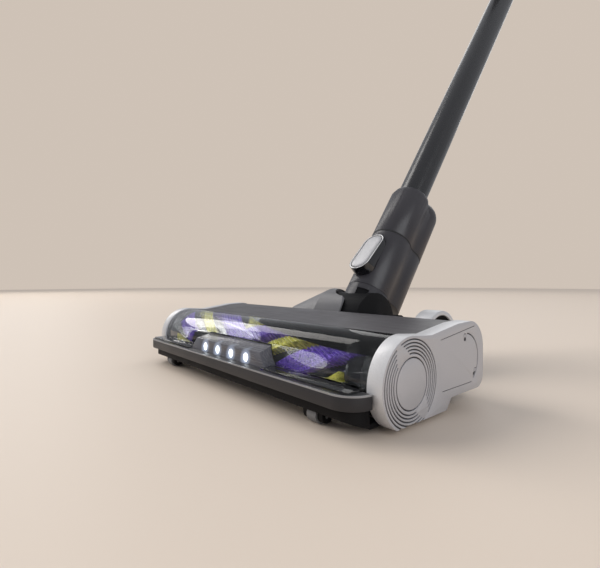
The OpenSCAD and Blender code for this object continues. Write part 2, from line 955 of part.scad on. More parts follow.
module brush_motor() {
  color("#b4b6ba") on_head() difference() {
    union() {
      x_bar(motor_case_r, motor_y, motor_z, -wall_in, -wall_in + motor_case_len);
      x_bar(6, motor_y, motor_z, -wall_in + motor_case_len - cut, -wall_in + motor_case_len + 4);
    }
    x_bar(motor_shaft_r + run_fit, motor_y, motor_z, -wall_in - cut, -wall_in + 24);
  }
}

module motor_pulley() {
  color("#8d9095") on_head() {
    pulley(motor_pulley_r, motor_y, motor_z);
    x_bar(motor_shaft_r, motor_y, motor_z, -pulley_x - cut, -wall_in + 22);
  }
}

module drive_belt() {
  belt_t = 1.4;
  low = -pulley_x - pulley_w + flange_t + 0.2;
  high = -pulley_x - flange_t - 0.2;
  color("#1a1a1a") on_head() along_x(low, high) difference() {
    belt_outline(roller_pulley_r + seam + belt_t, motor_pulley_r + seam + belt_t);
    belt_outline(roller_pulley_r + seam, motor_pulley_r + seam);
  }
}

// ---- Head: wheels, hood and small pieces ----

module front_wheel(x) {
  color("#202022") on_head() {
    x_bar(front_wheel_r, -front_wheel_y, front_wheel_r, x - front_wheel_w / 2, x + front_wheel_w / 2);
    x_bar(
      front_axle_r, -front_wheel_y, front_wheel_r,
      x - front_wheel_w / 2 - fork_t, x + front_wheel_w / 2 + fork_t
    );
  }
}

module front_wheel_left() { front_wheel(-front_wheel_x); }

module front_wheel_right() { front_wheel(front_wheel_x); }

// A broad silver rim around a recessed hub
module rear_wheel() {
  out = rear_wheel_in + rear_wheel_w;
  color("#b9bbbf") on_head() difference() {
    x_bar(rear_wheel_r, axle_y, axle_z, rear_wheel_in, out);
    x_bar(rear_wheel_r - rim_t, axle_y, axle_z, out - hub_recess, out + cut);
    x_bar(rear_wheel_r - 4, axle_y, axle_z, rear_wheel_in - cut, rear_wheel_in + hub_recess);
    x_bar(axle_r + run_fit, axle_y, axle_z, rear_wheel_in - cut, out + cut);
  }
}

module rear_wheel_right() { rear_wheel(); }

module rear_wheel_left() { mirror([1, 0, 0]) rear_wheel(); }

module rear_axles() {
  out = rear_wheel_in + rear_wheel_w;
  color("#8d9095") on_head() for (side = [0, 1]) mirror([side, 0, 0]) {
    x_bar(axle_r, axle_y, axle_z, arm_in + 2, out - hub_recess + seam);
    x_bar(axle_r + 2.5, axle_y, axle_z, out - hub_recess + seam, out - hub_recess + 2);
    x_bar(axle_r + 2, axle_y, axle_z, arm_out, rear_wheel_in + hub_recess - seam);
  }
}

// Horn about the tilt axis over the left arm
module hood_horn() {
  translate([0, pivot_y, pivot_z]) rotate([0, -90, 0]) rotate_extrude() polygon([
    [hood_in_r - 4, hood_in],
    [hood_in_r, hood_in],
    [hood_in_r + 0.3, hood_in + 3],
    [hood_end_r + 1, hood_end - 2],
    [hood_end_r - 1, hood_end],
    [0, hood_end],
    [0, hood_end - hood_wall],
    [hood_end_r - 2, hood_end - hood_wall],
    [hood_in_r - hood_wall, hood_in + 3.5],
    [hood_in_r - 4, hood_in + hood_wall]
  ]);
}

// The hood's front part around the barrel, with one rounded free corner
module hood_front() {
  corner = [hood_reach - hood_corner_r, pivot_z + hood_corner_z];
  intersection() {
    along_x(-hood_in - 1, hood_reach) difference() {
      translate([pivot_y, pivot_z]) circle(r = hood_in_r);
      translate([pivot_y, pivot_z]) circle(r = hood_in_r - hood_wall);
      translate([pivot_y, -big]) square([big, 2 * big]);
    }
    rotate([90, 0, 0]) linear_extrude(big, center = true) {
      translate(corner) circle(r = hood_corner_r);
      translate([-big, -big]) square([corner[0] + big, 2 * big]);
      translate([-big, -big]) square([hood_reach + big, corner[1] + big]);
    }
  }
}

// Hood over the hinge's left side, with an arch for the wheel and room for the upright neck
module hinge_hood() {
  color("#58575c") on_head() difference() {
    union() {
      hood_horn();
      hood_front();
    }
    block([-big, -big, -big], [big, big, pivot_z + hood_low]);
    x_bar(rear_wheel_r + 3, axle_y, axle_z, -hood_end - cut, -arm_in + 2);
    along_x(-arm_out - seam, -arm_in + seam) arm_outline(seam);
    along_x(-big, big) side_outline(-seam);
    translate([0, pivot_y, pivot_z]) rotate([-min_lean, 0, 0]) rod(front_lobe_r + 1, 0, big);
  }
}

// Rubber strip behind the suction slot
module rear_seal() {
  color("#2e2e30") on_head() block(
    [-wall_in + slot_end, slot_rear + 3, sole_z - 1.8],
    [wall_in - slot_end, slot_rear + 5.5, sole_z + push_fit]
  );
}

// ---- Hinge barrel and neck ----

// Tilts in the rear arms and carries the neck's swivel collar, which has a small notch in front
module hinge_barrel() {
  color("#17171a") on_wand() difference() {
    union() {
      x_bar(barrel_r, 0, 0, -barrel_half, barrel_half);
      x_bar(pin_r, 0, 0, -arm_out + 0.5, arm_out - 0.5);
      x_bar(pin_r + 4, 0, 0, -arm_in + seam, arm_in - seam);
      rod(collar_r, collar_low, collar_top);
    }
    x_bar(barrel_r - barrel_wall, 0, 0, -barrel_half + 3, barrel_half - 3);
    rod(swivel_r, 0, collar_top + cut);
    rotate([0, 0, notch_turn]) block(
      [-notch_w / 2, -barrel_r, notch_s - notch_h / 2],
      [notch_w / 2, -collar_r + notch_t, notch_s + notch_h / 2]
    );
    rotate([wand_lean, 0, 0]) along_x(-duct_half + duct_wall, duct_half - duct_wall) polygon([
      [0, 0],
      for (a = [slot_low : 11 : slot_high]) 60 * [cos(a), sin(a)]
    ]);
  }
}

// Two-lobed shell that swivels in the barrel's collar and takes the wand's plug from above
module neck_shell() {
  color("#353439") on_wand() difference() {
    union() {
      translate([0, 0, neck_start]) linear_extrude(seam_s - neck_start) lobes();
      rod(swivel_r - push_fit, spigot_low, neck_start + cut);
    }
    rod(bore_r, spigot_low - cut, seam_s + cut);
    rod(tube_r, seam_s - plug_depth - seam, seam_s + cut);
    block(
      [-contact_w / 2 - play, lobe_gap + 5 - contact_t / 2 - play, seam_s - plug_depth - seam],
      [contact_w / 2 + play, lobe_gap + 5 + contact_t / 2 + play, seam_s + cut]
    );
    pod_prism();
  }
}

// The pod's own volume: a leaning stadium that stays clear of the wand's socket
module pod_prism() {
  difference() {
    translate([0, -pod_out, button_s]) rotate([90 - pod_lean, 0, 0]) translate([0, 0, -pod_depth])
      linear_extrude(pod_depth) stadium(button_len + 2 * pod_rim, button_w + 2 * pod_rim);
    rod(tube_r + 1.2, 0, seam_s + 20);
  }
}

module button_pod() {
  color("#0f0f11") difference() {
    on_wand() pod_prism();
    on_button() translate([0, 0, -button_depth - 0.2 - button_travel])
      linear_extrude(big) stadium(button_len + 2 * play, button_w + 2 * play);
    on_button() translate([0, spring_y, 0]) rod(spring_r + play, -spring_depth - 0.2, 0);
  }
}

module neck_button() {
  color("#cfd1d5") on_button() translate([0, 0, -button_depth])
    linear_extrude(button_depth + 1.2) stadium(button_len, button_w);
}

module button_spring() {
  color("#9a9da2") on_button() translate([0, spring_y, 0])
    tube(spring_r, spring_r - 0.9, -spring_depth, -button_depth - 0.1);
}

// ---- Wand ----

// Flush with the neck; its rear lobe ends in a dome
module lower_collar() {
  color("#353439") on_wand() difference() {
    union() {
      rod(front_lobe_r, seam_s + seam, collar_end - collar_bevel);
      translate([0, 0, collar_end - collar_bevel])
        cylinder(r1 = front_lobe_r, r2 = front_lobe_r - 2, h = collar_bevel);
      translate([0, lobe_gap, 0]) rod(rear_lobe_r, seam_s + seam, dome_s);
      translate([0, lobe_gap, dome_s]) sphere(r = rear_lobe_r);
      intersection() {
        translate([0, 0, seam_s + seam]) linear_extrude(collar_end - seam_s) valleys();
        along_x(-big, big) polygon([
          [-cut, seam_s],
          [lobe_gap + cut, seam_s],
          [lobe_gap + cut, dome_s - 5],
          [-cut, collar_end - 2]
        ]);
      }
      rod(plug_or, seam_s - plug_depth, seam_s + 1);
    }
    rod(bore_r, seam_s - plug_depth - cut, tube_low + cut);
    rod(tube_r + run_fit, tube_low, dome_end + cut);
    block([-6, lobe_gap - 2, seam_s + 8], [6, lobe_gap + 12, dome_s]);
  }
}

// Carries the head's power: it plugs into the neck's rear lobe
module contact_plug() {
  color("#121214") on_wand() {
    block(
      [-contact_w / 2, lobe_gap + 5 - contact_t / 2, seam_s - plug_depth + 6],
      [contact_w / 2, lobe_gap + 5 + contact_t / 2, seam_s + seam]
    );
  }
}

module wand_tube() {
  color("#1b1b1e") on_wand() tube(tube_r, bore_r, tube_low, wand_top - upper_collar_len + tube_seat);
}

// Upper end of the wand: it plugs into the hand unit's inlet
module upper_collar() {
  low = wand_top - upper_collar_len;
  color("#353439") on_wand() difference() {
    union() {
      translate([0, 0, low]) linear_extrude(upper_collar_len) ribbed_round();
      rod(plug_or, wand_top - 1, wand_top + upper_plug);
      block(
        [-tongue_w / 2, tongue_y - tongue_t / 2, wand_top - 1],
        [tongue_w / 2, tongue_y + tongue_t / 2, wand_top + tongue_len]
      );
    }
    rod(tube_r + run_fit, low - cut, low + tube_seat + seam);
    rod(bore_r, low, wand_top + upper_plug + cut);
  }
}

// ---- Hand unit: inlet and bin ----

// Takes the wand's plug and leads the air into the side of the bin
module inlet_tube() {
  color("#2b2a2f") difference() {
    on_wand() difference() {
      union() {
        translate([0, 0, inlet_s]) linear_extrude(64) ribbed_round();
        rod(inlet_r, inlet_s, inlet_end);
        block(
          [-port_half - 2, -axis_gap + bin_r - 6, port_s - 2],
          [port_half + 2, 0, port_s + port_len + 2]
        );
      }
      rod(tube_r, inlet_s - cut, wand_top + upper_plug + seam);
      rod(bore_r, inlet_s, port_s + port_len);
      block([-port_half, -axis_gap + bin_r - 8, port_s], [port_half, 0, port_s + port_len]);
      block(
        [-tongue_w / 2 - play, tongue_y - tongue_t / 2 - play, inlet_s - cut],
        [tongue_w / 2 + play, tongue_y + tongue_t / 2 + play, wand_top + tongue_len + 1]
      );
      inlet_button_place() translate([0, 0, -6.4])
        linear_extrude(big) stadium(inlet_button_len + 2 * play, inlet_button_w + 2 * play);
    }
    on_bin() rod(bin_r + seam, bin_s - 10, bin_end);
  }
}

module inlet_button_place() {
  translate([0, rib_y + rib_r, inlet_s + 46]) rotate([-90, 0, 0]) children();
}

module inlet_button() {
  color("#cfd1d5") on_wand() inlet_button_place() translate([0, 0, -4])
    linear_extrude(4.6) stadium(inlet_button_len, inlet_button_w);
}

// Clear cup, open at both ends, with ears for the door's hinge and the latch
module bin_cup() {
  color("#c9d6dc", 0.35) on_bin() difference() {
    union() {
      rod(bin_r, bin_s, bin_end);
      for (side = [-1, 1]) translate([side * 6.5 - 1.2, latch_y - 2, latch_s - 4])
        cube([2.4, 8, 8]);
      for (side = [0, 1]) mirror([side, 0, 0]) hinge_ear();
    }
    rod(bin_r - bin_wall, bin_s - 10, bin_end + cut);
    block([-port_half, 0, port_s], [port_half, bin_r + cut, port_s + port_len]);
    x_bar(hinge_r + run_fit, latch_y, latch_s, -9, 9);
    x_bar(hinge_r + run_fit, hinge_y, hinge_s, -ear_in - ear_t - cut, ear_in + ear_t + cut);
  }
}

module hinge_ear() {
  x_bar(2.6, hinge_y, hinge_s, ear_in, ear_in + ear_t);
  block([ear_in, hinge_y - 2.6, hinge_s], [ear_in + ear_t, hinge_y + 2.6, bin_s + 8]);
  block([ear_in, bin_r - 6, bin_s + 2], [ear_in + ear_t, hinge_y, bin_s + 8]);
}

// Drops open about the hinge beside the inlet tube
module bin_door() {
  color("#2b2a2f") on_bin() difference() {
    union() {
      rod(bin_r, bin_s - door_t, bin_s - seam);
      rod(bin_r - bin_wall - 1, bin_s - seam - cut, bin_s + 3);
      block([-5, latch_y + 2, bin_s - door_t], [5, -bin_r + 2, bin_s - seam]);
      for (side = [0, 1]) mirror([side, 0, 0]) hinge_knuckle();
    }
    rod(bin_r - bin_wall - 4, bin_s - 1, bin_s + 3 + cut);
  }
}

// Knuckle on the door with its pin in the cup's ear
module hinge_knuckle() {
  low = ear_in + ear_t + play;
  x_bar(2.2, hinge_y, hinge_s, low, low + knuckle_t);
  x_bar(hinge_r, hinge_y, hinge_s, ear_in, low + cut);
  block([low, bin_r - 8, bin_s - door_t], [low + knuckle_t, hinge_y, bin_s - seam]);
}

// Rocks on a pin between the ears, beside the door's lip
module bin_latch() {
  color("#cfd1d5") on_bin() difference() {
    union() {
      x_bar(hinge_r, latch_y, latch_s, -7.6, 7.6);
      block([-4.9, latch_y - 2, bin_s - door_t], [4.9, latch_y + 2.6, latch_s + 14]);
    }
    block([-6, latch_y + 2 - play, bin_s - door_t - cut], [6, latch_y + 6, bin_s + 1.6]);
  }
}

module cyclone_cone() {
  cone_s = bin_s + 30;
  color("#3b3a40") on_bin() {
    translate([0, 0, cone_s]) difference() {
      cylinder(r1 = 12, r2 = shroud_r - 6, h = shroud_top - cone_s);
      translate([0, 0, 2]) cylinder(r1 = 10, r2 = shroud_r - 8, h = shroud_top - cone_s - 1.99);
    }
    tube(bin_r - bin_wall - seam, shroud_r - 9, shroud_top, shroud_top + 3);
    tube(outlet_r, outlet_r - 2, shroud_top - outlet_len, shroud_top + 3);
    for (a = [0 : 120 : 240]) rotate(a)
      block([outlet_r - 2, -1.2, shroud_top], [shroud_r - 6, 1.2, shroud_top + 3]);
  }
}

module mesh_shroud() {
  color("#a9abb0") on_bin() tube(shroud_r, shroud_r - 1.2, shroud_s, shroud_top);
}

// ---- Hand unit: body, motor and filters ----

// Housing behind the bin, with the bracket that joins it to the inlet tube
module main_body() {
  color("#2b2a2f") {
    difference() {
      union() {
        on_bin() rod(body_r, body_s, body_end);
        on_wand() block(
          [-bracket_half, -axis_gap + body_r - 6, inlet_end + seam],
          [bracket_half, bracket_low, bracket_end]
        );
      }
      on_bin() rod(body_r - body_wall, body_s + body_wall, body_end + cut);
      on_bin() rod(shroud_r - 9, body_s - cut, body_s + body_wall + cut);
      on_bin() rod(bin_r + seam, inlet_end - cut, bin_end + seam);
    }
  }
}

module pre_filter() {
  color("#8f9aa8") on_bin() tube(body_r - body_wall - 2, 18, body_s + body_wall + seam, fan_s - 4);
}

module impeller() {
  r = motor_r - 2;
  color("#d8dadd") on_bin() {
    rod(r, fan_s + fan_len - 2, fan_s + fan_len);
    rod(8, fan_s, fan_s + fan_len);
    for (i = [0 : 8]) rotate(i * 40)
      block([7, -0.8, fan_s + 2], [r - 1, 0.8, fan_s + fan_len - 1]);
    rod(motor_shaft_r, fan_s + fan_len - cut, motor_s + 15);
  }
}

module suction_motor() {
  color("#77797e") on_bin() difference() {
    rod(motor_r, motor_s, motor_s + motor_len);
    rod(motor_shaft_r + run_fit, motor_s - cut, motor_s + 16);
  }
}

// Rubber ring that holds the motor in the housing
module motor_mount() {
  color("#1a1a1a") on_bin() difference() {
    rod(body_r - body_wall - push_fit, mount_s, mount_s + mount_t);
    rod(motor_r + push_fit, motor_s, body_end);
    for (i = [0 : 7]) rotate(i * 45) translate([(body_r + motor_r) / 2 - 1, 0, 0])
      rod(4.5, motor_s, body_end);
  }
}

module exhaust_filter() {
  color("#e3e3de") on_bin()
    tube(body_r - body_wall - 1.5, pod_r + 1.5, rear_filter_s, rear_filter_s + rear_filter_len);
}

// Slides off rearwards with the filter; slots let the air out
module filter_cap() {
  color("#6b6a70") on_bin() difference() {
    union() {
      rod(body_r, body_end + seam, pod_end);
      tube(
        body_r - body_wall - 1.5, body_r - body_wall - 4, rear_filter_s + rear_filter_len, body_end + 1
      );
    }
    rod(body_r - body_wall - 4, rear_filter_s, pod_end - 3);
    rod(pod_r + play, body_end, pod_end + cut);
    for (i = [0 : 35]) rotate(i * 10)
      block([pod_r + 5, -1.1, pod_end - 4], [body_r - 7, 1.1, pod_end + cut]);
  }
}

// Round rear panel with the screen and mode button
module display_pod() {
  color("#151518") on_bin() difference() {
    union() {
      rod(pod_post_r, motor_s + motor_len, pod_s + cut);
      rod(pod_r, pod_s, pod_end + 1);
    }
    translate([0, 14, 0]) rod(5 + play, pod_end - 4, pod_end + 2 * cut);
    translate([0, -5, 0]) rod(14, pod_end + 0.4, pod_end + 2 * cut);
  }
}

module mode_button() {
  color("#cfd1d5") on_bin() translate([0, 14, 0]) rod(5, pod_end - 2, pod_end + 2);
}

// ---- Hand unit: grip, trigger and battery ----

// Cross-section of the grip in the plane of x and the wand's axis
module grip_section(e = 0) {
  translate([0, grip_mid]) stadium(grip_depth - 2 * e, grip_w - 2 * e);
}

// Runs a cross-section from low to high along the underside direction
module along_y(low, high) {
  translate([0, high, 0]) rotate([90, 0, 0]) linear_extrude(high - low) children();
}

module handle_grip() {
  color("#2b2a2f") difference() {
    on_wand() difference() {
      union() {
        along_y(-axis_gap + body_r - 12, grip_end) grip_section();
        block([-foot_half, grip_end - foot_t, battery_s + 4], [foot_half, grip_end, battery_end - 4]);
      }
      along_y(-axis_gap + body_r - 20, grip_end - 3) grip_section(grip_wall);
      block(
        [-trigger_w / 2 - play, trigger_low - play, grip_s - cut],
        [trigger_w / 2 + play, trigger_high + play, grip_s + trigger_travel]
      );
    }
    on_bin() rod(body_r + seam, body_s - cut, body_end + cap_len + cut);
  }
}

module grip_pad() {
  color("#1c1c1e") on_wand() difference() {
    along_y(4, grip_end - foot_t - seam) grip_section(-1.5);
    along_y(0, grip_end) grip_section(0);
    block([-big, -big, -big], [big, big, grip_mid + 4]);
  }
}

module trigger() {
  color("#cfd1d5") on_wand() difference() {
    block(
      [-trigger_w / 2, trigger_low, grip_s - trigger_travel - trigger_lip],
      [trigger_w / 2, trigger_high, grip_s + trigger_root]
    );
    x_bar(trigger_scoop_r, trigger_mid, grip_s - trigger_travel - trigger_scoop_r - 1, -big, big);
  }
}

module trigger_spring() {
  color("#9a9da2") on_wand() translate([0, trigger_mid, 0])
    tube(4, 3.1, grip_s + trigger_root + 0.2, board_s - 0.2);
}

module control_board() {
  color("#2c5f3a") on_wand() block(
    [-grip_w / 2 + grip_wall + push_fit, trigger_low, board_s],
    [grip_w / 2 - grip_wall - push_fit, grip_end - 12, board_s + board_t]
  );
}

module battery_pack() {
  w = battery_w / 2;
  wall = 2;
  cell_room = 2 * cell_pitch + 2 * cell_r;
  color("#232327") on_wand() difference() {
    block([-w, battery_low, battery_s], [w, battery_high, battery_end]);
    block(
      [-cell_room / 2 - 1, battery_low + wall, battery_s + 5],
      [cell_room / 2 + 1, battery_high - wall, battery_end - socket_depth - 2]
    );
    translate([0, (battery_low + battery_high) / 2, 0])
      rod(socket_r, battery_end - socket_depth, battery_end + cut);
    block(
      [-battery_latch_w / 2 - play, battery_latch_low - play, battery_s - cut],
      [battery_latch_w / 2 + play, battery_latch_low + battery_latch_h + play, battery_s + 4]
    );
  }
}

module battery_cells() {
  mid = (battery_low + battery_high) / 2;
  color("#3f8f5a") on_wand() for (i = [-1, 0, 1], row = [-1, 1]) {
    translate([i * cell_pitch, mid + row * (cell_pitch / 2 + 1), 0])
      rod(cell_r, battery_s + 5.2, battery_s + 5.2 + cell_len);
  }
}

// Pressing the latch frees the pack
module battery_latch() {
  color("#cfd1d5") on_wand() block(
    [-battery_latch_w / 2, battery_latch_low, battery_s - 1.5],
    [battery_latch_w / 2, battery_latch_low + battery_latch_h, battery_s + 1.6]
  );
}

base_plate();
chassis();
top_cover();
brush_window();
front_bumper();
light_housing();
light_lenses();
light_board();
left_end_cap();
right_end_cap();
bearing_plug();
roller_bearing();
roller_core();
purple_bristles();
green_bristles();
brush_motor();
motor_pulley();
drive_hub();
drive_belt();
front_wheel_left();
front_wheel_right();
rear_wheel_left();
rear_wheel_right();
rear_axles();
hinge_hood();
rear_seal();
base_screws();
hinge_barrel();
neck_shell();
button_pod();
neck_button();
button_spring();
lower_collar();
contact_plug();
wand_tube();
upper_collar();
inlet_tube();
inlet_button();
bin_cup();
bin_door();
bin_latch();
cyclone_cone();
mesh_shroud();
main_body();
pre_filter();
impeller();
suction_motor();
motor_mount();
exhaust_filter();
filter_cap();
display_pod();
mode_button();
handle_grip();
grip_pad();
trigger();
trigger_spring();
control_board();
battery_pack();
battery_cells();
battery_latch();
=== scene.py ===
# %% [markdown]
# # A cordless stick vacuum
# The vacuum is a floor head, a neck that tilts and swivels, a long wand, and a hand unit with the dust
# bin, the motor and the battery. The solid model holds every piece at its true size and place.
# This lesson loads that model, sets up a camera and soft light, makes a finish for each material,
# and then gives each visible piece the rounded edges and small parts that it has in real life.
# Loading comes first, because every later piece is placed from the solids.

# %% Load the solid model
import json
import math

import bpy
from mathutils import Matrix, Vector


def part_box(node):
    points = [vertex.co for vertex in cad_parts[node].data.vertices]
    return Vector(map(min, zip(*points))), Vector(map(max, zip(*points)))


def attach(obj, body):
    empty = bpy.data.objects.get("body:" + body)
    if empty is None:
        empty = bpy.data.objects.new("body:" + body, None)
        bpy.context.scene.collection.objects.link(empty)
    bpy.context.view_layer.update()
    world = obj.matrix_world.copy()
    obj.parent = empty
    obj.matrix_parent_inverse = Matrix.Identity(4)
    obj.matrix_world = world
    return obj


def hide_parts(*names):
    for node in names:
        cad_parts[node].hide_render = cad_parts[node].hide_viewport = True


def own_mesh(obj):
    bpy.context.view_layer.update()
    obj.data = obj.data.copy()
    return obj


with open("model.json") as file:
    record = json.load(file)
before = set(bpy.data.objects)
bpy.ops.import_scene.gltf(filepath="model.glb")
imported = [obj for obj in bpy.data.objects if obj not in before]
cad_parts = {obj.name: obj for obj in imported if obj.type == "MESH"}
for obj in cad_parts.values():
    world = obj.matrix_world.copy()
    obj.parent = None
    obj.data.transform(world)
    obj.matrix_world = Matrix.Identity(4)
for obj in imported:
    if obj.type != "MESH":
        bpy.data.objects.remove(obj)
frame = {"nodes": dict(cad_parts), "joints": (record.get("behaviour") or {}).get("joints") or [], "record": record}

nodes = frame["nodes"]
behaviour = frame["record"]["behaviour"]
body_of_node = {node: body for body, members in behaviour["bodies"].items() for node in members}
slot_of_node = {row["node"]: row["material_slot"] for row in frame["record"]["subparts"]}
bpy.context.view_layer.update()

# %% [markdown]
# ## Measuring the model
# Two sets of directions are handy. The head stands square on the floor, so its pieces are measured from
# the brush axis. The wand leans back, so its pieces are measured along the wand from the tilt axis.
# Both are read from the solids and joints, so nothing has to be typed twice.

# %% Find the brush axis and the wand's own frame
MM = 0.001
joints = {joint["name"]: joint for joint in frame["joints"]}
bearing_low, bearing_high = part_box("roller_bearing")
brush_y = (bearing_low.y + bearing_high.y) / 2
brush_z = (bearing_low.z + bearing_high.z) / 2
tilt_axis = Vector(joints["head_tilt"]["pos_m"])
wand_up = Vector(joints["neck_swivel"]["axis"])
wand_under = Vector((0, wand_up.z, -wand_up.y))
wand_frame = Matrix.Translation(tilt_axis) @ Matrix(
    ((1, wand_under.x, wand_up.x), (0, wand_under.y, wand_up.y), (0, wand_under.z, wand_up.z))
).to_4x4()
print("brush axis at y", round(brush_y, 4), "z", round(brush_z, 4))


def wand_box(node):
    """Lowest and highest corner of a solid in the wand's frame, in metres."""
    back = wand_frame.inverted()
    points = [back @ v.co for v in nodes[node].data.vertices]
    return (
        Vector([min(p[i] for p in points) for i in range(3)]),
        Vector([max(p[i] for p in points) for i in range(3)]),
    )


# %% [markdown]
# ## Camera
# The camera is low, near the right end of the floor head, and looks along it towards the wand. A long
# lens from further away would flatten the head. A short one gives the strong perspective that makes the
# near end cap look large.

# %% Place the camera


def hang(name, data, place, direction):
    """Puts a camera or a lamp at a place, so that it looks along a direction."""
    item = bpy.data.objects.new(name, data)
    bpy.context.scene.collection.objects.link(item)
    item.location = place
    item.rotation_euler = direction.to_track_quat("-Z", "Y").to_euler()
    return item


camera_data = bpy.data.cameras.new("camera")
camera_data.lens = 23.58
camera_data.sensor_width = 36.0
camera_data.clip_start = 0.01
view_direction = Vector((-0.757, 0.653, -0.0101))
camera = hang("camera", camera_data, (0.2779, brush_y - 0.1953, 0.08606), view_direction)
bpy.context.scene.camera = camera
bpy.context.scene.view_settings.view_transform = "Standard"
print("camera at", tuple(round(c, 3) for c in camera.location))

# %% [markdown]
# ## Building blocks for finishes
# Every finish starts from the same few nodes: Object coordinates, which are the same as the model's own
# metres here, a noise for clouds of colour, and a finer noise that a Bump node turns into grain. The
# nodes could be wired one by one in each finish, but small helpers keep a finish short to read.

# %% Helpers that add and feed nodes


def put(tree, socket, value):
    """Links a socket to another one, or sets it to a value."""
    if isinstance(value, bpy.types.NodeSocket):
        tree.links.new(value, socket)
    else:
        socket.default_value = value


def feed(tree, node, **inputs):
    """Gives inputs of a node a value or a link each; _ stands for a space in a name."""
    for name, value in inputs.items():
        put(tree, node.inputs[name.replace("_", " ")], value)
    return node


def add(tree, kind, **inputs):
    """A new node with its inputs fed."""
    return feed(tree, tree.nodes.new("ShaderNode" + kind), **inputs)


def new_finish(name):
    """A material with its tree, its shader and its Object coordinates."""
    material = bpy.data.materials.new(name)
    material.use_nodes = True
    tree = material.node_tree
    return material, tree, tree.nodes["Principled BSDF"], add(tree, "TexCoord").outputs["Object"]


def by_ray(tree, ray, usual, special):
    """A shader that is special for one kind of ray and usual for all others."""
    mixer = add(tree, "MixShader")
    is_ray = add(tree, "LightPath").outputs["Is " + ray + " Ray"]
    for socket, value in zip(mixer.inputs, (is_ray, usual.outputs[0], special.outputs[0])):
        put(tree, socket, value)
    return mixer.outputs[0]


print("node helpers ready")

# %% Helpers that make patterns


def stretched(tree, place, scale, turn=(0, 0, 0)):
    """Coordinates scaled, and turned if asked."""
    return add(tree, "Mapping", Scale=scale, Rotation=turn, Vector=place).outputs["Vector"]


def noise(tree, place, scale, detail=3.0):
    """A noise pattern's value; scale is in waves per metre."""
    texture = add(tree, "TexNoise", Scale=scale, Detail=detail, Roughness=0.55, Vector=place)
    return texture.outputs["Fac"]


def spread(tree, value, low, high, from_low=0.3, from_high=0.7):
    """Maps a pattern's value onto a range."""
    ranger = add(tree, "MapRange", From_Min=from_low, From_Max=from_high, To_Min=low, To_Max=high)
    return feed(tree, ranger, Value=value).outputs["Result"]


def two_tone(tree, value, first, second):
    """Mixes two colours by a pattern's value."""
    mixer = add(tree, "Mix")
    mixer.data_type = "RGBA"
    return feed(tree, mixer, A=(*first, 1), B=(*second, 1), Factor=value).outputs["Result"]


print("pattern helpers ready")

# %% Helpers that use patterns


def share(colour, part):
    """A colour scaled by part."""
    return tuple(c * part for c in colour)


def shades(tree, value, colour, dark, light):
    """A colour that a pattern's value takes from a dark share of it to a light one."""
    return two_tone(tree, value, share(colour, dark), share(colour, light))


def calculate(tree, operation, *values):
    """The result of a Math node."""
    node = add(tree, "Math")
    node.operation = operation
    for socket, value in zip(node.inputs, values):
        put(tree, socket, value)
    return node.outputs[0]


def relief(tree, shader, height, depth, strength=1.0, **under):
    """Turns a pattern into bumps depth metres high; Normal= gives a coarser relief under it."""
    bump = add(tree, "Bump", Height=height, Distance=depth, Strength=strength, **under)
    feed(tree, shader, Normal=bump.outputs["Normal"])
    return bump.outputs["Normal"]


print("colour and relief helpers ready")

# %% [markdown]
# ## Floor and light
# A plain pale floor takes the shadows. One small lamp would draw them hard and black, so a wide sun from
# the left draws them soft, and it lights the floor evenly to the horizon. Glossy pieces don't mirror the
# sun, which would burn out on them. They mirror large area lamps, which act as softboxes: a long one on
# the left draws the pale streak along the window, a fill lights the end cap on the right, and a rim lamp
# stands behind. The world adds an even light from all round. What the camera sees behind the object is a
# pale warm wall colour, set through Light Path, so that it adds no light to the object.

# %% Make the floor
FLOOR_R = 4
bpy.ops.mesh.primitive_circle_add(vertices=128, radius=FLOOR_R, fill_type="NGON")
floor = bpy.context.object
floor.name = "floor"
floor_paint, floor_tree, floor_shader = new_finish("pale floor")[:3]
feed(floor_tree, floor_shader, Base_Color=(0.70, 0.60, 0.51, 1), Roughness=0.55)
floor.data.materials.append(floor_paint)
print("floor radius", FLOOR_R, "m")

# %% Hang the sun and the softboxes
WARM = (1.0, 0.97, 0.93)
NEUTRAL = (1.0, 0.99, 0.97)
COOL = (0.96, 0.98, 1.0)


def softbox(name, place, target, wide, high, watts, colour):
    """An area lamp at place that faces target."""
    data = bpy.data.lights.new(name, "AREA")
    data.shape = "RECTANGLE"
    data.size = wide
    data.size_y = high
    data.energy = watts
    data.color = colour
    hang(name, data, place, Vector(target) - Vector(place))


sun_data = bpy.data.lights.new("sun", "SUN")
sun_data.angle = math.radians(44)
sun_data.energy = 1.9
sun_data.color = WARM
sun = hang("sun", sun_data, (0, 0, 0), Vector((0.74, 0.42, -0.52)))
sun.visible_glossy = False
softbox("key", (-2.1, -0.4, 1.75), (0, -0.4, 0.05), 0.9, 2.8, 22, WARM)
softbox("fill", (2.0, -0.7, 1.1), (0, -0.3, 0.1), 1.6, 1.6, 16, COOL)
softbox("rim", (-0.9, 1.9, 1.7), (0, 0, 0.3), 1.6, 1.6, 9, NEUTRAL)

# %% Paint the world
world = bpy.data.worlds.new("room")
bpy.context.scene.world = world
world.use_nodes = True
room = world.node_tree
room.nodes.clear()
room_light = add(room, "Background", Color=(0.93, 0.95, 1.0, 1), Strength=0.40)
room_wall = add(room, "Background", Color=(0.62, 0.54, 0.47, 1), Strength=1.0)
add(room, "OutputWorld", Surface=by_ray(room, "Camera", room_light, room_wall))
print("world nodes:", len(room.nodes))

# %% [markdown]
# ## Moulded plastic
# Most of the vacuum is injection-moulded ABS. Its mould has a fine spark-eroded texture, so the surface
# scatters light and shows a satin sheen. Up close there is a fine grain, the gloss varies a little
# where the tool was worn, and long use leaves faint hairlines. A plain colour would look like putty, and
# a painted picture would need every piece unwrapped. So one function builds all the plastics from noise,
# each with its own colour, gloss and grain.

# %% Make the plastics


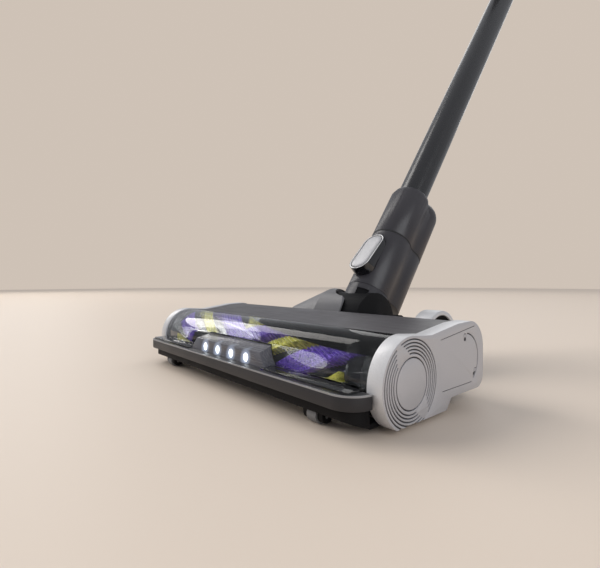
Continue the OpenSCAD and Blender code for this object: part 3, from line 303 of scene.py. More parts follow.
def moulded_plastic(name, colour, gloss, grain=900, depth=0.00004, specular=0.5, coat=0.0):
    """Satin or glossy plastic; grain is in grains per metre and depth in metres."""
    material, tree, shader, place = new_finish(name)
    cloud = spread(tree, noise(tree, place, 9, 4), 0, 1)
    hairlines = noise(tree, stretched(tree, place, (30, 900, 500), (0.4, 0.9, 0.5)), 1.0, 2)
    worn = calculate(tree, "MULTIPLY", hairlines, noise(tree, place, 26, 3))
    feed(
        tree, shader, Base_Color=shades(tree, cloud, colour, 0.86, 1.14),
        Roughness=spread(tree, worn, gloss - 0.07, gloss + 0.09, 0.12, 0.42),
        Specular_IOR_Level=specular, Coat_Weight=coat, Coat_Roughness=0.08,
    )
    relief(tree, shader, noise(tree, place, grain, 2), depth)
    return material


cover_grey = moulded_plastic("cover grey", (0.060, 0.056, 0.062), 0.40)
charcoal = moulded_plastic("charcoal", (0.036, 0.034, 0.040), 0.34)
bumper_grey = moulded_plastic("bumper grey", (0.026, 0.025, 0.028), 0.40, specular=0.35)
# this black is made darker still, as painted shade for the head's underside and the hinge barrel, which sit in
# deep shade
black_and_painted_shade = moulded_plastic("black and painted shade", (0.006, 0.006, 0.007), 0.58, specular=0.15)
housing_grey = moulded_plastic("housing grey", (0.095, 0.094, 0.108), 0.26, grain=1400, depth=0.00002)
hood_grey = moulded_plastic("hood grey", (0.15, 0.148, 0.155), 0.42)
wheel_grey = moulded_plastic("wheel grey", (0.17, 0.17, 0.175), 0.5)
piano_black = moulded_plastic("piano black", (0.008, 0.008, 0.010), 0.14, 500, 0.000008, coat=0.6)
# a dark grey for painted shade in the end caps' grooves and along their back edge
groove_shade_grey = moulded_plastic("groove shade grey", (0.04, 0.039, 0.045), 0.5)
print("finishes so far:", len(bpy.data.materials))

# %% [markdown]
# ## Silver paint
# The end caps, the wheels and the buttons are plastic with a silver paint. Such paint holds tiny
# aluminium flakes under a clear coat. Full metal would look like chrome, so the shader is only part
# metallic. The flakes are a very fine noise that tilts the surface a little, so the silver sparkles
# softly, and a slow wave under the coat gives the slight orange-peel of spray.

# %% Make the silver finishes
FLAKES_PER_METRE = 2600
FLAKE_TILT = 0.00002


def silver_paint(name, colour, gloss, metal):
    """Silver spray paint under a clear coat; metal is how metallic it looks."""
    material, tree, shader, place = new_finish(name)
    flakes = noise(tree, place, FLAKES_PER_METRE, 2)
    cloud = noise(tree, place, 14, 3)
    feed(
        tree, shader, Base_Color=shades(tree, spread(tree, flakes, 0, 1), colour, 0.90, 1.08),
        Roughness=spread(tree, cloud, gloss - 0.05, gloss + 0.06), Metallic=metal,
        Coat_Weight=0.25, Coat_Roughness=0.2,
    )
    peel = relief(tree, shader, noise(tree, place, 320, 2), 0.00002, 0.5)
    relief(tree, shader, flakes, FLAKE_TILT, 0.7, Normal=peel)
    return material


cap_silver = silver_paint("cap silver", (0.52, 0.515, 0.54), 0.42, 0.35)
button_silver = silver_paint("button silver", (0.46, 0.46, 0.48), 0.40, 0.25)
light_silver_and_band_highlight = silver_paint("light silver and band highlight", (0.66, 0.66, 0.68), 0.40, 0.25)
trim_silver = silver_paint("trim silver", (0.30, 0.30, 0.31), 0.40, 0.3)
print("silver finishes:", [m.name for m in (cap_silver, button_silver, light_silver_and_band_highlight, trim_silver)])

# %% [markdown]
# ## Metal, rubber, nylon and filters
# Turned steel and aluminium have fine tool marks that run round the piece, made from a noise that is
# stretched along the marks. Rubber is nearly black and dull, with a soft speckle. The bristles are
# nylon: each tuft is a little lighter or darker than the next, and a sheen lights their edges. Filter
# foam is full of small cells, which a Voronoi pattern gives, and a Wave pattern folds the filter paper.

# %% Make the metals


def turned_metal(name, colour, gloss, marks):
    """Bare metal; marks holds the number of tool marks per metre along X, Y and Z."""
    material, tree, shader, place = new_finish(name)
    lines = noise(tree, stretched(tree, place, marks), 1.0, 3)
    feed(
        tree, shader, Base_Color=shades(tree, spread(tree, lines, 0, 1), colour, 0.86, 1.1),
        Roughness=spread(tree, lines, gloss - 0.08, gloss + 0.1), Metallic=1.0,
    )
    relief(tree, shader, lines, 0.00001, 0.8)
    return material


steel = turned_metal("turned steel", (0.50, 0.51, 0.53), 0.32, (4000, 60, 60))
aluminium = turned_metal("turned aluminium", (0.62, 0.63, 0.65), 0.28, (60, 2400, 2400))
print("metals:", steel.name, "and", aluminium.name)

# %% Make the rubber and the nylon


def rubber(name, colour):
    """Dull rubber with a soft speckle."""
    material, tree, shader, place = new_finish(name)
    speckle = noise(tree, place, 1500, 2)
    tone = shades(tree, spread(tree, noise(tree, place, 30), 0, 1), colour, 1, 1.7)
    feed(tree, shader, Base_Color=tone, Roughness=spread(tree, speckle, 0.62, 0.85))
    relief(tree, shader, speckle, 0.00005)
    return material


def nylon(name, colour, tip):
    """Bristles that run from a deep colour to a lighter one."""
    material, tree, shader, place = new_finish(name)
    tufts = noise(tree, place, 420, 2)
    feed(
        tree, shader, Base_Color=two_tone(tree, spread(tree, tufts, 0, 1, 0.35, 0.65), colour, tip),
        Roughness=spread(tree, tufts, 0.38, 0.6), Sheen_Weight=0.35, Sheen_Roughness=0.4,
    )
    relief(tree, shader, noise(tree, place, 2400, 1), 0.00006)
    return material


black_rubber = rubber("black rubber", (0.014, 0.014, 0.015))
purple_nylon = nylon("purple nylon", (0.075, 0.022, 0.30), (0.22, 0.09, 0.62))
green_nylon = nylon("green nylon", (0.30, 0.28, 0.015), (0.72, 0.66, 0.09))
print("bristles:", purple_nylon.name, "and", green_nylon.name)

# %% Make the foam and the paper


def foam(name, colour, cells, depth):
    """Open foam, painted darker in the hollow of each cell as shade; cells is in cells per metre."""
    material, tree, shader, place = new_finish(name)
    hollow = add(tree, "TexVoronoi", Scale=cells, Vector=place).outputs["Distance"]
    # the cell pattern darkens the colour in each hollow: painted shade
    tone = shades(tree, hollow, colour, 0.45, 1.15)
    feed(tree, shader, Base_Color=tone, Roughness=spread(tree, hollow, 0.7, 0.95, 0, 1))
    relief(tree, shader, hollow, depth)
    return material


def pleated(name, colour):
    """Filter paper, with painted shade that darkens the valleys of its folds."""
    material, tree, shader, place = new_finish(name)
    fold = add(tree, "TexWave", Scale=110, Distortion=0.6, Vector=place).outputs["Fac"]
    gloss = spread(tree, noise(tree, place, 700), 0.8, 0.95)
    # the fold pattern darkens the colour in its valleys: painted shade
    feed(tree, shader, Base_Color=shades(tree, fold, colour, 0.6, 1), Roughness=gloss)
    relief(tree, shader, fold, 0.0015)
    return material


filter_foam = foam("filter foam", (0.30, 0.34, 0.40), 700, 0.0006)
filter_paper = pleated("filter paper", (0.74, 0.73, 0.68))
print("filters:", filter_foam.name, "and", filter_paper.name)

# %% Make the board and the perforated steel


def lacquered_board(name, colour):
    """A circuit board with lighter tracks under its lacquer."""
    material, tree, shader, place = new_finish(name)
    tracks = add(
        tree, "TexBrick", Scale=160, Color1=(*colour, 1), Color2=(*share(colour, 0.7), 1),
        Mortar=(*share(colour, 2.2), 1), Vector=place,
    )
    gloss = spread(tree, noise(tree, place, 300), 0.2, 0.4)
    feed(tree, shader, Base_Color=tracks.outputs["Color"], Roughness=gloss)
    relief(tree, shader, tracks.outputs["Fac"], 0.00004)
    return material


def perforated(name, colour, holes):
    """Sheet metal with rows of fine holes, painted near black as the shade inside them."""
    material, tree, shader, place = new_finish(name)
    cell = add(tree, "TexVoronoi", Scale=holes, Randomness=0.0, Vector=place)
    sheet = spread(tree, cell.outputs["Distance"], 0.0, 1.0, 0.3, 0.36)
    # the holes get a near black colour that is not metallic: painted shade
    feed(
        tree, shader, Base_Color=shades(tree, sheet, colour, 0.04, 1), Metallic=sheet,
        Roughness=spread(tree, noise(tree, place, 300), 0.25, 0.45),
    )
    relief(tree, shader, sheet, 0.0004)
    return material


perforated_steel = perforated("perforated steel", (0.5, 0.51, 0.53), 520)
board_green = lacquered_board("board green", (0.02, 0.12, 0.045))
cell_wrap = moulded_plastic("cell wrap", (0.03, 0.24, 0.10), 0.22, coat=0.3)
print("finishes so far:", len(bpy.data.materials))

# %% [markdown]
# ## Clear plastic
# The brush window and the dust bin are clear polycarbonate. A Principled shader with full transmission
# bends and mirrors light as the real wall does. Lamps can't shine through such glass quickly, so for
# shadow rays a Transparent shader takes its place, and the brush inside stays lit. A faint haze of fine
# scratches keeps the surface from looking unreal.

# %% Make the clear finishes


def clear_plastic(name, tint, haze):
    """See-through plastic; haze is the roughness of its fine scratches."""
    material, tree, shader, place = new_finish(name)
    wiped = noise(tree, stretched(tree, place, (60, 20, 90)), 1.0, 4)
    feed(
        tree, shader, Base_Color=(*tint, 1), Transmission_Weight=1.0, IOR=1.45,
        Roughness=spread(tree, wiped, 0.0, haze, 0.45, 0.8),
    )
    relief(tree, shader, noise(tree, place, 40, 2), 0.00004, 0.5)
    open_air = add(tree, "BsdfTransparent", Color=(*tint, 1))
    surface = by_ray(tree, "Shadow", shader, open_air)
    feed(tree, tree.nodes["Material Output"], Surface=surface)
    return material


window_clear = clear_plastic("window clear", (0.93, 0.96, 0.98), 0.06)
bin_clear = clear_plastic("bin clear", (0.62, 0.65, 0.68), 0.08)
print("clear:", window_clear.name, "and", bin_clear.name)

# %% [markdown]
# ## Light and screen
# The headlight lenses glow a cool white, brightest in the middle of each lens, and the grey housing
# catches a little of it around them. Real lamps in there would be slow to render, so the surfaces glow
# themselves. Both use the distance from the nearest lens, which is found by wrapping x at the pitch of
# the lenses and grows past the ends of the row. The screen on the hand unit is off: it is dark glass.

# %% Make the glowing and dark glass
LENSES = 4
lens_low, lens_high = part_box("light_lenses")
lens_r = (lens_high.z - lens_low.z) / 2
lens_z = (lens_high.z + lens_low.z) / 2
lens_pitch = (lens_high.x - lens_low.x - 2 * lens_r) / (LENSES - 1)


def from_lens(tree, place):
    """Distance from the nearest lens's middle, seen from the front."""
    parts = add(tree, "SeparateXYZ", Vector=place)
    along = calculate(tree, "WRAP", parts.outputs["X"], lens_pitch, 0.0)
    across = calculate(tree, "SUBTRACT", along, lens_pitch / 2)
    rise = calculate(tree, "SUBTRACT", parts.outputs["Z"], lens_z)
    across_squared = calculate(tree, "MULTIPLY", across, across)
    rise_squared = calculate(tree, "MULTIPLY", rise, rise)
    reach = calculate(tree, "SQRT", calculate(tree, "ADD", across_squared, rise_squared))
    from_middle = calculate(tree, "ABSOLUTE", parts.outputs["X"])
    past_row = calculate(tree, "SUBTRACT", from_middle, LENSES / 2 * lens_pitch)
    return calculate(tree, "ADD", reach, calculate(tree, "MAXIMUM", past_row, 0.0))


def glow(material, colour, bright, dim, near, far):
    """Lets a finish glow: bright at the distance near from a lens, dim at the distance far."""
    tree = material.node_tree
    shader = tree.nodes["Principled BSDF"]
    place = next(node for node in tree.nodes if node.type == "TEX_COORD").outputs["Object"]
    strength = spread(tree, from_lens(tree, place), bright, dim, near, far)
    feed(tree, shader, Emission_Color=(*colour, 1), Emission_Strength=strength)
    return material


lens_plastic = moulded_plastic("lens glow", (0.8, 0.85, 0.9), 0.15, depth=0.00008)
lens_glow = glow(lens_plastic, (0.86, 0.94, 1.0), 4.0, 1.1, 0.3 * lens_r, lens_r)
housing_plastic = moulded_plastic("lit housing", (0.095, 0.094, 0.108), 0.26, 1400, 0.00002)
lit_housing = glow(housing_plastic, (0.62, 0.74, 1.0), 0.42, 0.0, 0.9 * lens_r, 2.2 * lens_r)
screen_glass = moulded_plastic("screen glass", (0.006, 0.006, 0.008), 0.08, 300, 0.000004, coat=1.0)
print("lens radius", round(lens_r, 4), "pitch", round(lens_pitch, 4))

# %% [markdown]
# ## Painted wand
# The wand is an aluminium tube with a gloss black paint. Long hairlines run up it, where the hand unit
# is slid on and off. They are a noise that is turned with the wand and stretched along it. Modelled
# scratches would cost many faces and show no better.

# %% Make the wand's paint
wand_black, paint_tree, paint_shader, paint_place = new_finish("wand black")
up_the_wand = stretched(paint_tree, paint_place, (900, 300, 12), (0.62, 0, 0))
paint_lines = noise(paint_tree, up_the_wand, 1.0, 3)
paint_cloud = noise(paint_tree, paint_place, 12)
feed(
    paint_tree, paint_shader, Coat_Weight=0.4, Coat_Roughness=0.15,
    Base_Color=two_tone(paint_tree, paint_cloud, (0.010, 0.010, 0.012), (0.018, 0.018, 0.021)),
    Roughness=spread(paint_tree, paint_lines, 0.2, 0.36),
)
relief(paint_tree, paint_shader, noise(paint_tree, paint_place, 260, 2), 0.00002, 0.5)
print("painted:", wand_black.name)

# %% [markdown]
# ## Giving every solid its finish
# Each solid names a material slot. One list pairs the slots with the finishes made above, so that every
# piece of the model, also the hidden ones, has a real surface. A few pieces share a slot but not a look,
# and a second list gives them their own finish.

# %% Dress the solids
finish_of_slot = {
    "dark_charcoal": charcoal, "cover_grey": cover_grey, "silver_paint": cap_silver,
    "silver_button": button_silver, "black_plastic": black_and_painted_shade, "gloss_black": piano_black,
    "clear": window_clear, "smoked_clear": bin_clear, "lens": lens_glow,
    "light_grey_plastic": lit_housing, "purple_bristle": purple_nylon, "green_bristle": green_nylon,
    "roller_plastic": piano_black, "steel": steel, "aluminium": aluminium, "wand_paint": wand_black,
    "rubber": black_rubber, "circuit_green": board_green, "filter_foam": filter_foam,
    "filter_paper": filter_paper, "cell_wrap": cell_wrap, "screen_black": screen_glass,
}


def dress(piece, material):
    """Gives a piece one material."""
    piece.data.materials.clear()
    piece.data.materials.append(material)


own_finish = {
    "front_bumper": bumper_grey, "hinge_hood": hood_grey, "front_wheel_left": wheel_grey,
    "front_wheel_right": wheel_grey, "rear_wheel_left": light_silver_and_band_highlight, "rear_wheel_right": light_silver_and_band_highlight,
    "filter_cap": housing_grey, "mesh_shroud": perforated_steel,
}


def finish_of(node):
    """The finish of a solid: its own, or that of its material slot."""
    return own_finish.get(node, finish_of_slot[slot_of_node[node]])


for name, solid in nodes.items():
    dress(solid, finish_of(name))
print("dressed", len(nodes), "solids")

# %% [markdown]
# ## Helpers for modelling
# Pieces could be written as lists of corners, but tools such as extrude and bevel are easier to follow.
# Operators act on whatever is selected, so each step starts with nothing selected. A finished piece has
# its place in its mesh and its object at the origin, as the solids have.

# %% Helpers that select and shape


def select_only(*pieces):
    """Leaves edit mode and selects these objects alone; the last is the active one."""
    if bpy.context.object and bpy.context.object.mode != "OBJECT":
        bpy.ops.object.mode_set(mode="OBJECT")
    bpy.ops.object.select_all(action="DESELECT")
    for piece in pieces:
        piece.select_set(True)
    bpy.context.view_layer.objects.active = pieces[-1]


def edit(piece):
    """Opens a piece's mesh for editing, with everything selected."""
    select_only(piece)
    bpy.ops.object.mode_set(mode="EDIT")
    bpy.ops.mesh.select_all(action="SELECT")


def begin(name):
    """Names the primitive that was just added."""
    piece = bpy.context.object
    piece.name = name
    piece.data.name = name
    return piece


def use_modifier(piece, kind, **settings):
    """Adds a modifier, sets it and applies it."""
    select_only(piece)
    modifier = piece.modifiers.new(kind.lower(), kind)
    for setting, value in settings.items():
        setattr(modifier, setting, value)
    bpy.ops.object.modifier_apply(modifier=modifier.name)


def place_in(piece, where):
    """Moves a piece that was modelled at the origin into a frame, and applies that to its mesh."""
    select_only(piece)
    piece.matrix_world = where @ piece.matrix_world
    bpy.ops.object.transform_apply(location=True, rotation=True, scale=True)


print("shaping helpers ready")

# %% Helpers that finish a piece


def smooth(piece, degrees=35):
    """Shades a piece smooth, except over edges sharper than this."""
    select_only(piece)
    bpy.ops.object.shade_smooth_by_angle(angle=math.radians(degrees))


def settle(piece, body, slot, material, *replaced):
    """Gives a piece its material and body, hides the solids it stands for, and prints it; slot is not used."""
    dress(piece, material)
    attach(piece, body)
    if replaced:
        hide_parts(*replaced)
    print(piece.name, "faces:", len(piece.data.polygons))


print("finishing helpers ready")

# %% [markdown]
# ## Rounded edges
# A moulded or turned piece has no razor edges: each one is rounded by a few tenths of a millimetre, and
# that thin round catches the light and draws the outline of the piece. The solids have sharp edges. A
# Bevel node could fake the round in the shading alone, but it doesn't survive an export. So a copy of
# each visible solid has its triangles merged, its flat faces cleaned and its sharp edges bevelled. The
# bevel stays inside the solid, so no size changes.

# %% Copy a solid and round its edges
NEARLY_FLAT = math.radians(0.6)
SAME_PLACE = 0.000002


def copy_of(node, name):
    """A merged copy of a solid's mesh, in edit mode with everything selected."""
    piece = bpy.data.objects.new(name, nodes[node].data.copy())
    piece.data.name = name
    bpy.context.scene.collection.objects.link(piece)
    edit(piece)
    bpy.ops.mesh.remove_doubles(threshold=SAME_PLACE)
    return piece


def rounded(node, width, degrees=38):
    """A copy of a solid with its edges sharper than this rounded, which stands for it."""
    piece = copy_of(node, node + "_rounded")
    bpy.ops.mesh.dissolve_limited(angle_limit=NEARLY_FLAT)
    use_modifier(
        piece, "BEVEL", width=width, segments=2, limit_method="ANGLE",
        angle_limit=math.radians(degrees), harden_normals=False, miter_outer="MITER_ARC",
    )
    smooth(piece, 30)
    settle(piece, body_of_node[node], slot_of_node[node], finish_of(node), node)


softened_mm = {
    "right_end_cap": 0.7, "left_end_cap": 0.7, "top_cover": 0.3, "front_bumper": 0.9,
    "light_housing": 0.5, "base_plate": 0.4, "hinge_hood": 0.4, "hinge_barrel": 0.6,
    "neck_shell": 0.6, "lower_collar": 0.5, "upper_collar": 0.6, "inlet_tube": 0.8,
    "main_body": 1.0, "filter_cap": 0.5, "handle_grip": 1.0, "battery_pack": 1.2, "bin_door": 0.6,
    "bin_latch": 0.4, "rear_wheel_left": 1.0, "rear_wheel_right": 1.0, "trigger": 1.0,
    "button_pod": 0.4, "inlet_button": 0.7, "mode_button": 0.5, "battery_latch": 1.0,
}
for node, width in softened_mm.items():
    rounded(node, width * MM)

# %% [markdown]
# ## Turned shapes and stadium shapes
# Rings, domes and wheel centres are turned shapes. A profile could be spun, but its two open poles would
# then need closing. So each starts as a filled circle, whose face is extruded and scaled from one point
# of its profile to the next. A stadium is a circle with one half moved away from the other. Both are
# made about the origin and are then placed in a frame.

# %% Helpers for turned and stadium shapes


def close_up(piece):
    """Fills the open rim of a mesh in edit mode and turns all faces outwards."""
    bpy.ops.mesh.select_all(action="DESELECT")
    bpy.ops.mesh.select_non_manifold()
    bpy.ops.mesh.edge_face_add()
    bpy.ops.mesh.select_all(action="SELECT")
    bpy.ops.mesh.normals_make_consistent(inside=False)
    bpy.ops.object.mode_set(mode="OBJECT")
    return piece


def turned(name, profile, sides=64):
    """A closed turned shape about Z, with a profile of (radius, height) points."""
    (radius, height), *rest = profile
    bpy.ops.mesh.primitive_circle_add(vertices=sides, radius=radius, fill_type="NGON")
    piece = begin(name)
    edit(piece)
    bpy.ops.transform.translate(value=(0, 0, height))
    for next_radius, next_height in rest:
        rise = (0, 0, next_height - height)
        bpy.ops.mesh.extrude_region_move(TRANSFORM_OT_translate={"value": rise})
        grow = next_radius / radius
        bpy.ops.transform.resize(value=(grow, grow, 1), center_override=(0, 0, 0))
        radius, height = next_radius, next_height
    return close_up(piece)


def stadium(name, length, width, height, crown=(), sides=64):
    """A closed stadium along Y; crown holds (inset, rise) steps of its top face."""
    bpy.ops.mesh.primitive_circle_add(vertices=sides, radius=width / 2, fill_type="NGON")
    piece = begin(name)
    for vertex in piece.data.vertices:
        vertex.co.y += (length - width) / 2 * (1 if vertex.co.y > 0 else -1)
    edit(piece)
    bpy.ops.mesh.extrude_region_move(TRANSFORM_OT_translate={"value": (0, 0, height)})
    for inset, rise in crown:
        bpy.ops.mesh.inset(thickness=inset, depth=rise)
    return close_up(piece)


print("turned and stadium helpers ready")

# %% Helpers that cut and repeat


def carve(piece, cutter):
    """Takes a cutter's volume out of a piece and removes the cutter."""
    use_modifier(piece, "BOOLEAN", operation="DIFFERENCE", solver="EXACT", object=cutter)
    bpy.data.objects.remove(cutter)


def row_of(piece, count, step):
    """Repeats a piece in a straight row."""
    use_modifier(
        piece, "ARRAY", count=count, use_relative_offset=False, use_constant_offset=True,
        constant_offset_displace=step,
    )


def keep_between(normal, low_point, high_point):
    """Cuts the mesh in edit mode down to what lies between two parallel planes."""
    for point, upper in ((low_point, False), (high_point, True)):
        bpy.ops.mesh.select_all(action="SELECT")
        bpy.ops.mesh.bisect(
            plane_co=point, plane_no=normal, use_fill=True, clear_outer=upper, clear_inner=not upper
        )
    bpy.ops.mesh.select_all(action="SELECT")


print("cutting helpers ready")

# %% [markdown]
# ## Bristles
# Each strip on the roller is a field of nylon tufts. Hair particles could grow them, but they would have
# to be turned into a mesh at the end. So one tuft is four thin cones that lean apart. It is repeated
# across the strip, then along the strip with a small turn at each step, which winds the helix, then
# three times round the roller, and last it is mirrored to the other half, which gives the chevron. Under
# the tufts lies a dense pile, which is a copy of the strip that stands a little lower.

# %% Measure the strips
CORE = 16.6 * MM
TIP = 24.3 * MM
HELIX = math.radians(150)
LEANS = ((0.10, 0.03), (-0.09, 0.08), (0.03, -0.11), (-0.05, -0.04))
FOOT_SPREAD = 4 * MM
strip_low, strip_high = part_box("purple_bristles")
strip_run = (strip_high.x - strip_low.x) / 2
brush_middle = Matrix.Translation(((strip_high.x + strip_low.x) / 2, brush_y, brush_z))
print("half a strip is", round(strip_run, 4), "m long")

# %% A field of tufts


def repeat(piece, count, shift, turn):
    """Repeats a piece, each copy shifted along X and turned about X from the last."""
    bpy.ops.object.empty_add(location=(shift, 0, 0), rotation=(turn, 0, 0))
    step = bpy.context.object
    use_modifier(
        piece, "ARRAY", count=count, use_relative_offset=False, use_object_offset=True,
        offset_object=step,
    )
    bpy.data.objects.remove(step)


def tuft_field(node, middle, width, rows, steps, material):
    """Three wound strips of tufts on each half of the roller."""
    hairs = []
    for lean_x, lean_y in LEANS:
        bpy.ops.mesh.primitive_cone_add(
            vertices=5, radius1=0.5 * MM, radius2=0.2 * MM, depth=TIP - CORE,
            location=(lean_x * FOOT_SPREAD, lean_y * FOOT_SPREAD, -(TIP + CORE) / 2),
            rotation=(math.pi + lean_y, lean_x, 0),
        )
        hairs.append(bpy.context.object)
    select_only(*hairs)
    bpy.ops.object.join()
    piece = begin(node + "_tufts")
    bpy.ops.object.transform_apply(location=True, rotation=True, scale=True)
    first = math.radians(middle - width / 2 * (1 - 1 / rows))
    place_in(piece, Matrix.Rotation(first, 4, "X") @ Matrix.Translation((strip_run / steps / 2, 0, 0)))
    repeat(piece, rows, 0.4 * MM, math.radians(width / rows))
    repeat(piece, steps, strip_run / steps, -HELIX / steps)
    repeat(piece, 3, 0, math.radians(120))
    use_modifier(piece, "MIRROR", use_axis=(True, False, False))
    edit(piece)
    bpy.ops.transform.vertex_random(offset=0.22 * MM, seed=5)
    bpy.ops.mesh.normals_make_consistent(inside=False)
    place_in(piece, brush_middle)
    smooth(piece, 60)
    settle(piece, "roller", slot_of_node[node], material)


print("tufts stand from", CORE, "to", TIP, "m")

# %% Grow the tufts and their pile
for node, middle, width, rows, steps, material in (
    ("purple_bristles", 0, 44, 7, 44, purple_nylon), ("green_bristles", 60, 26, 4, 44, green_nylon),
):
    tuft_field(node, middle, width, rows, steps, material)
    pile = copy_of(node, node + "_pile")
    bpy.ops.mesh.dissolve_limited(angle_limit=NEARLY_FLAT)
    bpy.ops.transform.shrink_fatten(value=-1.2 * MM)
    smooth(pile, 40)
    settle(pile, "roller", slot_of_node[node], material, node)

# %% [markdown]
# ## Two finishes on one moulding
# An end cap's round edge gets a lighter copy of its silver, which is a painted highlight, and its grooves
# and the faces along its back edge get a dark grey, which is painted shade. The hinge barrel is black,
# and its collar is charcoal like the neck, but a small patch at its front stays black as painted shade
# for a notch. Such a piece could be cut in two, but the cut would show. So it keeps one mesh, and its
# faces are sorted by where they are or which way they look.

# %% A helper that sorts faces


def second_finish(piece, material, belongs):
    """Adds a material and gives it to each face for which belongs(centre, normal) is true."""
    piece.data.materials.append(material)
    index = len(piece.data.materials) - 1
    for face in piece.data.polygons:
        if belongs(face.center, face.normal):
            face.material_index = index
    return sum(face.material_index == index for face in piece.data.polygons)


cap_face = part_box("right_end_cap")[1].x
print("the right cap's face is at x", round(cap_face, 4))

# %% [markdown]
# ## Marks on the right cap
# Two small padlock signs, open and closed, and two straight lines are engraved in the right cap. They
# could be bump in the material, but real grooves keep their dark edge from any side. So thin cutters are
# modelled flat at the origin, turned to the cap's face and carved out of it.

# %% Make the cutters
LOCK_DEPTH = 0.3 * MM
LINE_DEPTH = 0.35 * MM
LINE_WIDTH = 0.5 * MM
CUTTER_HEIGHT = 2 * MM


def cutter_at(piece, y, z, depth):
    """Moves a cutter made flat at the origin to a place on the right cap's face."""
    facing = Matrix(((0, 0, 1), (1, 0, 0), (0, 1, 0))).to_4x4()
    place_in(piece, Matrix.Translation((cap_face - depth, brush_y + y * MM, z * MM)) @ facing)
    return piece


def bar(name, length, width, place=(0, 0), degrees=0):
    """A thin bar with rounded ends, flat at the origin."""
    piece = stadium(name, length, width, CUTTER_HEIGHT, sides=16)
    turn = Matrix.Rotation(math.radians(degrees), 4, "Z")
    place_in(piece, Matrix.Translation((*place, 0)) @ turn)
    return piece


def lock_mark(swing):
    """Cutters for a padlock sign: a round shackle, moved aside when open, and a body."""
    bpy.ops.mesh.primitive_torus_add(
        major_radius=1.5 * MM, minor_radius=0.34 * MM, major_segments=24, minor_segments=8,
        location=(swing * 1.6 * MM, 1.4 * MM, 0.3 * MM),
    )
    shackle = begin("shackle")
    body = bar("lock_body", 3.4 * MM, 2.6 * MM, (0, -0.9 * MM), 90)
    return shackle, body


# %% Carve the signs and the lines
# place along Y and Z in millimetres, then the swing of the shackle or the length and lean of the line
right_cap = bpy.data.objects["right_end_cap_rounded"]
for y, z, swing in ((62.2, 46.9, 0), (75.4, 21.9, 1)):
    for cutter in lock_mark(swing):
        carve(right_cap, cutter_at(cutter, y, z, LOCK_DEPTH))
for y, z, length, lean in ((52.5, 15.8, 39, 0), (53.5, 51.3, 45, 7)):
    line = bar("line", length * MM, LINE_WIDTH, degrees=90 + lean)
    carve(right_cap, cutter_at(line, y, z, LINE_DEPTH))
print("right cap faces:", len(right_cap.data.polygons))

# %% Paint the highlight on the caps' edges and the shade in their grooves
for side, name in ((1, "right_end_cap"), (-1, "left_end_cap")):

    def on_highlight_band(centre, normal):
        """On the cap's round edge, behind its face, which is painted lighter as a highlight."""
        return abs(normal.x) < 0.8 and abs(centre.x) < cap_face - 0.9 * MM

    def in_shaded_groove_or_back(centre, normal):
        """On the floor of a groove, and on faces that tilt back, as the back edge's round does: painted shade."""
        depth = cap_face - centre.x * side
        outwards = normal.x * side
        on_floor = outwards > 0.9 and 0.2 * MM < depth < 1.2 * MM
        return on_floor or (normal.y > 0.5 and 0.2 < outwards < 0.95)

    cap = bpy.data.objects[name + "_rounded"]
    # the round edge takes a lighter silver: a painted highlight
    band = second_finish(cap, light_silver_and_band_highlight, on_highlight_band)
    # the groove floors and the faces that tilt back get a dark grey: painted shade
    grooves = second_finish(cap, groove_shade_grey, in_shaded_groove_or_back)
    print(name, "band faces:", band, "groove faces:", grooves)

# %% Paint the barrel's collar
COLLAR_FOOT = 18 * MM
COLLAR_REACH = 23.8 * MM
NOTCH_MIDDLE = 25 * MM
NOTCH_HALF = (6.6 * MM, 4.1 * MM)
NOTCH_REACH = 22.6 * MM
notch_turn = Matrix.Rotation(math.radians(-28), 3, "Z")
to_wand = wand_frame.inverted()


def on_collar(centre, normal):
    """On the collar's round, but not in the small patch at its front that stays black as painted shade for a
    notch.
    """
    place = to_wand @ centre
    facing_notch = notch_turn @ place
    # the notch is a patch that keeps the barrel's black: painted shade
    in_notch_shade = (
        abs(facing_notch.x) < NOTCH_HALF[0] and abs(place.z - NOTCH_MIDDLE) < NOTCH_HALF[1]
        and -NOTCH_REACH < facing_notch.y < 0
    )
    return place.z > COLLAR_FOOT and math.hypot(place.x, place.y) < COLLAR_REACH and not in_notch_shade


barrel = bpy.data.objects["hinge_barrel_rounded"]
print("collar faces:", second_finish(barrel, charcoal, on_collar))

# %% [markdown]
# ## Gasket between neck and wand
# A thin black gasket fills the seam where the wand's collar meets the neck. A curve could follow the
# seam, but the outline has two lobes and would have to be measured. The neck already has that outline,
# so the gasket is cut from a copy of it by two bisects, and swells a little to stand proud.

# %% Slice the gasket from the neck
neck_top = wand_box("neck_shell")[1].z
gasket = copy_of("neck_shell", "neck_gasket")
keep_between(
    wand_up,
    wand_frame @ Vector((0, 0, neck_top - 1.5 * MM)),
    wand_frame @ Vector((0, 0, neck_top - 0.1 * MM)),
)
bpy.ops.transform.shrink_fatten(value=0.15 * MM)
smooth(gasket, 30)
settle(gasket, "neck", "rubber", black_rubber)

# %% [markdown]
# ## Release button
# The button is a silver stadium with a soft crown. A bevel would only round its edge, so the crown is
# made by insetting the top face in rising steps. A thin silver rim lies round it on the black pod: a
# stadium with a smaller one carved out. Both sit in the frame of the button's own travel.

# %% Measure the button
button_points = [v.co for v in nodes["neck_button"].data.vertices]
outward = -Vector(joints["neck_button_press"]["axis"])
button_up = outward.cross(Vector((1, 0, 0)))
if button_up.dot(wand_up) < 0:
    button_up = -button_up
button_right = button_up.cross(outward)


def span(direction):
    """The button's lowest and highest place along a direction."""
    places = [point.dot(direction) for point in button_points]
    return min(places), max(places)


